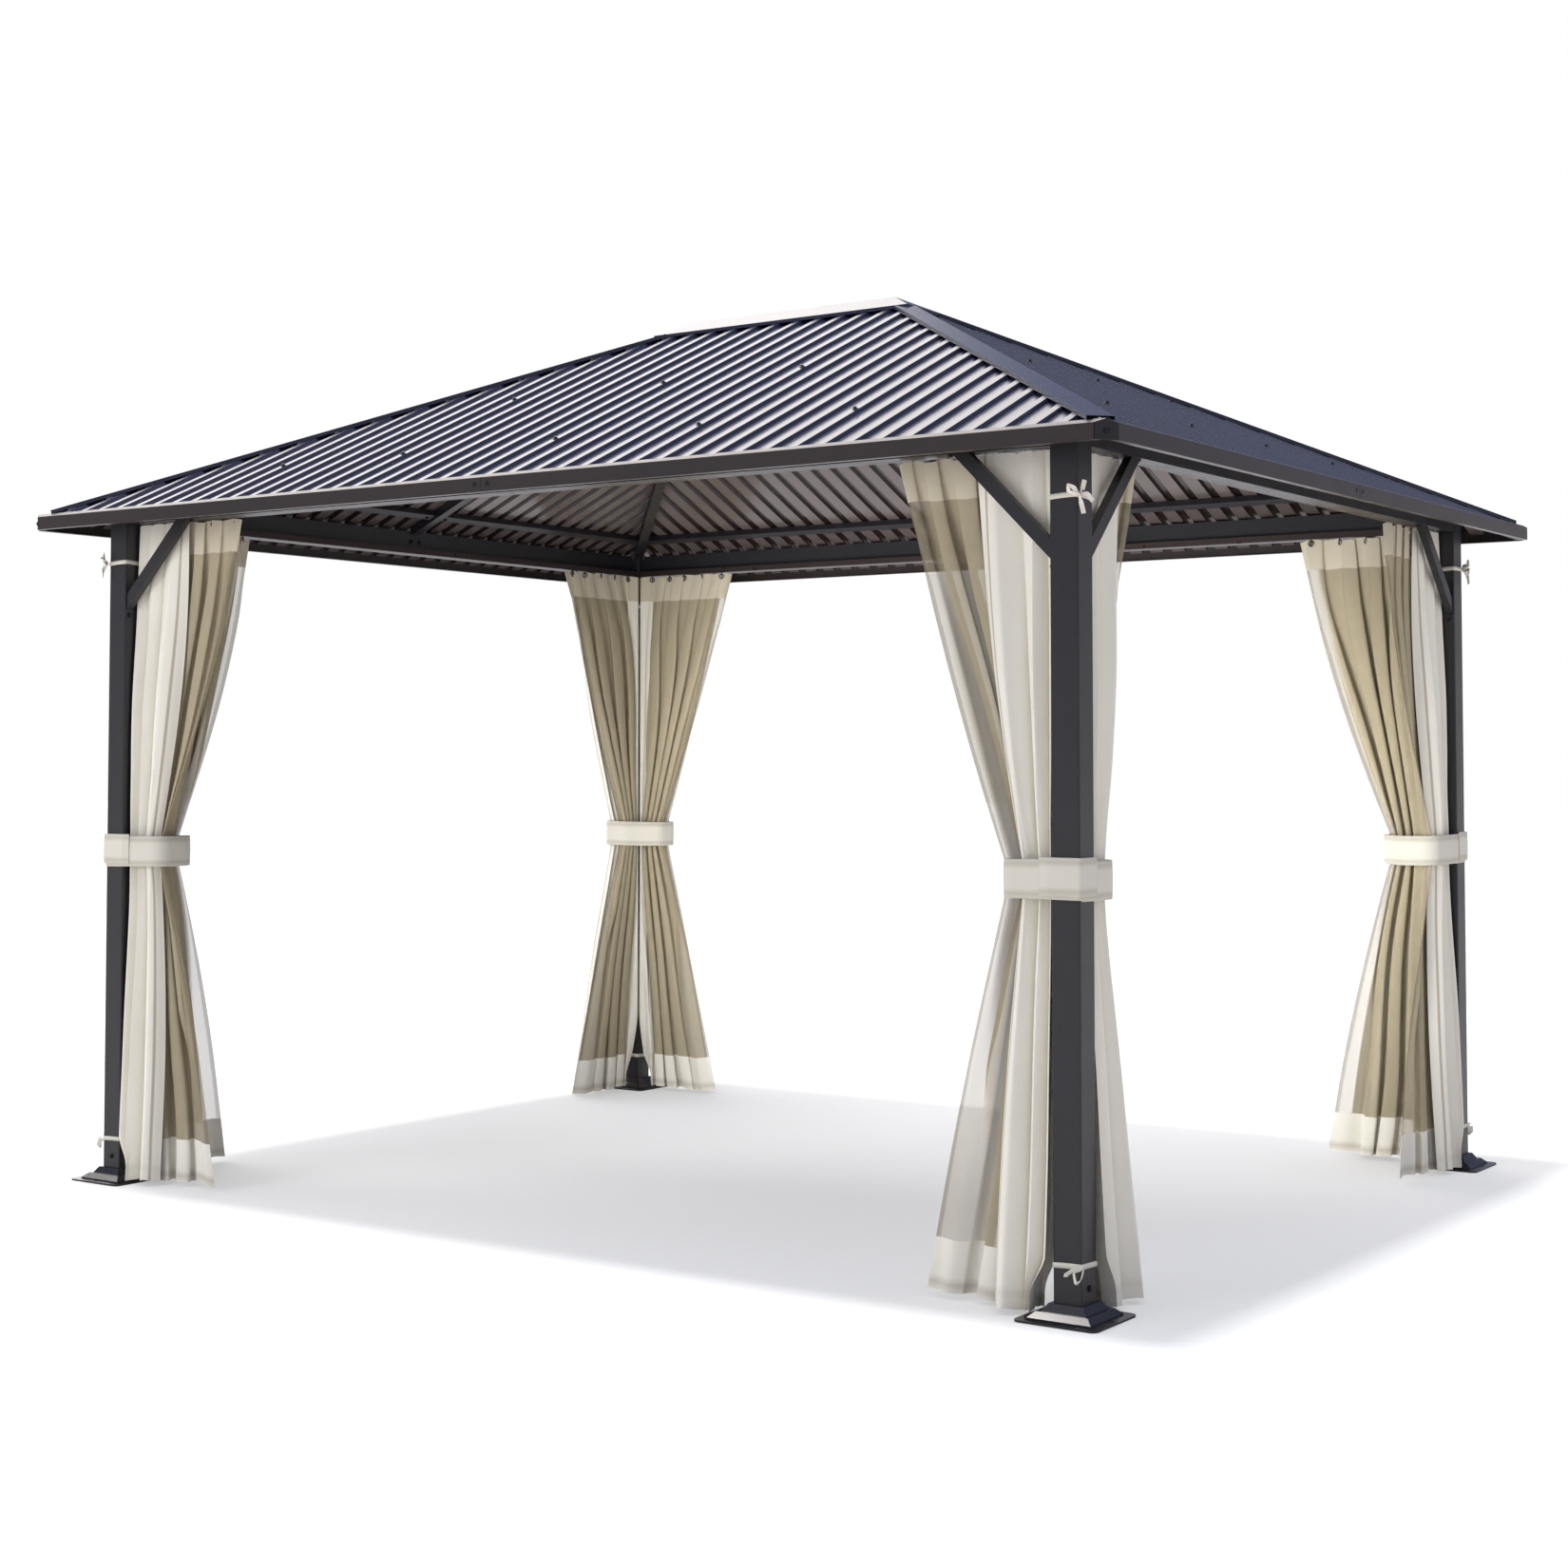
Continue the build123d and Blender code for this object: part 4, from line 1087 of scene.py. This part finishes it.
for corner, side in POST_BOLTS.items():
    x, y = CORNERS[corner]
    middle = Vector((x * post_x, y * post_y, 0))
    out = SIDES[side]
    bolts.append(found(f"{corner}_post", middle + out * AWAY + UP * POST_BOLT_HEIGHT, -out))
    for run in (Vector((-x, 0, 0)), Vector((0, -y, 0))):
        other = Vector((0, y, 0)) if run.x else Vector((x, 0, 0))
        low_end = middle + other * BRACE_LINE + UP * (brace_low.z - BRACE_DROP)
        bolts.append(found(f"{corner}_post", low_end + run * AWAY, -run))
        beam = ("front" if y < 0 else "back") if run.x else ("right" if x > 0 else "left")
        high_end = middle + other * BRACE_LINE + run * BRACE_REACH
        bolts.append(found(f"{beam}_beam", high_end + UP * BELOW, UP))
for side, out in SIDES.items():
    eave, along = eave_of(side)
    outside = out * (eave + AWAY)
    for shift in FASCIA_SCREWS:
        flats.append(found(f"{side}_fascia", outside + along * shift + UP * FASCIA_MIDDLE, -out))
    for shift in BEAM_BOLTS:
        start = out * (eave - BEAM_INSET) + along * shift + UP * (beam_low.z + BEAM_RISE)
        bolts.append(found(f"{side}_beam", start, -out))
    for shift in RAFTER_BOLTS:
        bolts.append(found("lower_purlins", out * (eave - PURLIN_INSET) + along * shift + UP * BELOW, UP))
        bolts.append(found(f"{side}_beam", along * shift * INNER_SHARE + UP * (rail_high.z + INNER_RISE), out))
    seat, _ = found(f"{side}_fascia", outside + UP * FASCIA_MIDDLE, -out)
    half = along * JOINT_HALF
    low = UP * (fascia_low.z - FASCIA_MIDDLE + JOINT_LOW)
    high = UP * (fascia_high.z - FASCIA_MIDDLE - JOINT_HIGH)
    outline = ((-1, low), (1, low), (1, high), (-1, high))
    box = [seat + a * half + b + out * depth for depth in JOINT_DEPTHS for a, b in outline]
    joints.append((box, BOX_FACES))
scatter("frame_bolts", hex_bolt, bolts, bolt_steel)
scatter("fascia_screws", flat_screw, flats, bolt_steel)
# Painted shade: a dark bar in each fascia joint stands for the shadow in its gap.
piece("fascia_joints", *joined(*joints), [joint_shadow], "frame_paint", smooth=False)
print("joints:", len(joints))

# %% [markdown]
# ## Camera
# The camera stands where the photograph's camera stood: low and to the front right. It could be turned by
# eye, but these values come from fitting the posts, the eaves and the ridge. The shifts stand for the way
# the picture is cropped.

# %% Camera
camera = bpy.data.objects.new("camera", bpy.data.cameras.new("camera"))
bpy.context.scene.collection.objects.link(camera)
camera.location = (4.1624, -6.1082, 1.245)
camera.rotation_euler = (pi / 2 + 0.0415, 0.0, 0.6051)
camera.data.sensor_width = 36.0
camera.data.lens = 55.18
camera.data.shift_x = 0.0022
camera.data.shift_y = -0.0768
camera.data.clip_end = 200.0
bpy.context.scene.camera = camera
bpy.context.scene.view_settings.view_transform = "Standard"
print("camera", round(camera.data.lens, 1), "mm, at a height of", round(camera.location.z, 2), "m")

# %% [markdown]
# ## A studio to mirror
# Gloss paint shows what it mirrors. The real roof seems to mirror a bright place high at the left and a
# darker, bluer room elsewhere. A picture of a studio could be wrapped round the scene. A few patches of light
# are enough here and can be aimed one by one, and the camera itself sees white.

# %% World
world = bpy.data.worlds.new("studio")
bpy.context.scene.world = world
world.use_nodes = True
studio = world.node_tree
studio.nodes.clear()
toward = add(studio, "ShaderNodeTexCoord").outputs["Generated"]
rays = add(studio, "ShaderNodeLightPath").outputs


def patch_of_sky(direction, start, full):
    """0 away from a direction and 1 close to it; both ends are given as cosines."""
    inputs = {0: toward, 1: Vector(direction).normalized()}
    close = add(studio, "ShaderNodeVectorMath", inputs, operation="DOT_PRODUCT").outputs["Value"]
    inputs = {"Value": close, "From Min": start, "From Max": full}
    return add(studio, "ShaderNodeMapRange", inputs, interpolation_type="SMOOTHSTEP").outputs["Result"]


upward = add(studio, "ShaderNodeSeparateXYZ", {"Vector": toward}).outputs["Z"]
sky = add(studio, "ShaderNodeValToRGB", {"Fac": upward})
ramp = sky.color_ramp
ramp.elements[0].position, ramp.elements[0].color = 0.0, (0.62, 0.58, 0.56, 1.0)
ramp.elements[1].position, ramp.elements[1].color = 1.0, (1.30, 1.32, 1.45, 1.0)
for position, colour in (
    (0.06, (0.62, 0.58, 0.58, 1.0)), (0.17, (0.20, 0.23, 0.34, 1.0)), (0.5, (0.16, 0.19, 0.30, 1.0)),
    (0.70, (0.14, 0.17, 0.28, 1.0)), (0.82, (1.20, 1.24, 1.40, 1.0)),
):
    ramp.elements.new(position).color = colour
bright = patch_of_sky((-0.75, 0.30, 0.59), 0.81, 0.89)
inputs = {0: patch_of_sky((-0.57, -0.20, 0.81), 0.982, 0.990), 1: rays["Is Glossy Ray"]}
glint = add(studio, "ShaderNodeMath", inputs, operation="MULTIPLY").outputs["Value"]
colour = sky.outputs["Color"]
for factor, light in (
    (bright, (2.75, 2.62, 2.52, 1.0)),
    (glint, (28.0, 26.6, 25.8, 1.0)),
    (rays["Is Camera Ray"], (1.0, 1.0, 1.0, 1.0)),
):
    inputs = {"Factor": factor, "A": colour, "B": light}
    colour = add(studio, "ShaderNodeMix", inputs, data_type="RGBA").outputs["Result"]
background = add(studio, "ShaderNodeBackground", {"Color": colour})
add(studio, "ShaderNodeOutputWorld", {"Surface": background.outputs["Background"]})
print("world with", len(ramp.elements), "bands of sky and 2 patches of light")

# %% [markdown]
# ## Lamps
# The cloth is lit softly from all sides, with a sun overhead for the shadow. The world alone could light it,
# but then every change for the cloth would show in the roof. These lamps are hidden from mirrors, so paint
# and cloth can be matched one after the other.


# %% Lamps
def lamp(name, kind, energy, place, aim, size, spread=180):
    """A lamp aimed at a point; a soft one lights cloth and floor without showing in the paint."""
    light = bpy.data.lights.new(name, kind)
    light.energy = energy
    if kind == "AREA":
        light.shape = "RECTANGLE"
        light.size, light.size_y = size
        light.spread = radians(spread)
    else:
        light.angle = radians(size)
    made = bpy.data.objects.new(name, light)
    bpy.context.scene.collection.objects.link(made)
    made.location = place
    made.rotation_euler = (Vector(aim) - Vector(place)).to_track_quat("-Z", "Y").to_euler()
    made.visible_glossy = False
    made.visible_camera = False


lamp("overhead_sun", "SUN", 2.4, (-0.5, -0.3, 9), (0, 0, 0), 4)
lamp("front_soft", "AREA", 285, (-3.0, -8.5, 3.2), (0, -0.5, 1.0), (5, 3))
lamp("inside_soft", "AREA", 37, (0.35, -0.85, 1.0), (0.1, 1.25, 1.0), (2.2, 1.2), spread=75)
lamp("right_soft", "AREA", 90, (8.5, 0.5, 3.0), (0, 0, 1.0), (5, 4))
lamp("left_soft", "AREA", 80, (-7.5, -2.0, 3.4), (0, 0, 1.0), (5, 4))
lamp("back_soft", "AREA", 80, (-1.0, 8.5, 3.4), (0, 0, 1.0), (7, 4))
print("lamps:", len(bpy.data.lights))

# %% [markdown]
# ## Ground
# The gazebo stands on white ground that only shows its shadow. A shadow catcher could do that, but its
# shadow has to be laid over white in a second step. A matte floor with a little glow for the camera doesn't.

# %% Ground
FLOOR_HALF, FLOOR_TOP = 60, -0.0005
floor_mesh = bpy.data.meshes.new("floor")
floor_corners = [(x * FLOOR_HALF, y * FLOOR_HALF, FLOOR_TOP) for x, y in CORNERS.values()]
floor_mesh.from_pydata(floor_corners, [], [(0, 1, 2, 3)])
floor = bpy.data.objects.new("floor", floor_mesh)
bpy.context.scene.collection.objects.link(floor)
# Matte white paint: it takes the shadow and has no gleam.
ground = bpy.data.materials.new("white_ground")
ground.use_nodes = True
floor_mesh.materials.append(ground)
paving = ground.node_tree
paving.nodes.clear()
seen = add(paving, "ShaderNodeLightPath").outputs["Is Camera Ray"]
tone = add(paving, "ShaderNodeMix", {"Factor": seen, "A": "#BFBDBC", "B": "#B1B1B1"}, data_type="RGBA")
matte = add(paving, "ShaderNodeBsdfDiffuse", {"Color": tone.outputs["Result"]})
level = add(paving, "ShaderNodeMath", {0: seen, 1: 0.40}, operation="MULTIPLY").outputs["Value"]
glow = add(paving, "ShaderNodeEmission", {"Strength": level})
both = add(paving, "ShaderNodeAddShader", {0: matte.outputs["BSDF"], 1: glow.outputs["Emission"]})
add(paving, "ShaderNodeOutputMaterial", {"Surface": both.outputs["Shader"]})
print("ground", 2 * FLOOR_HALF, "m wide")
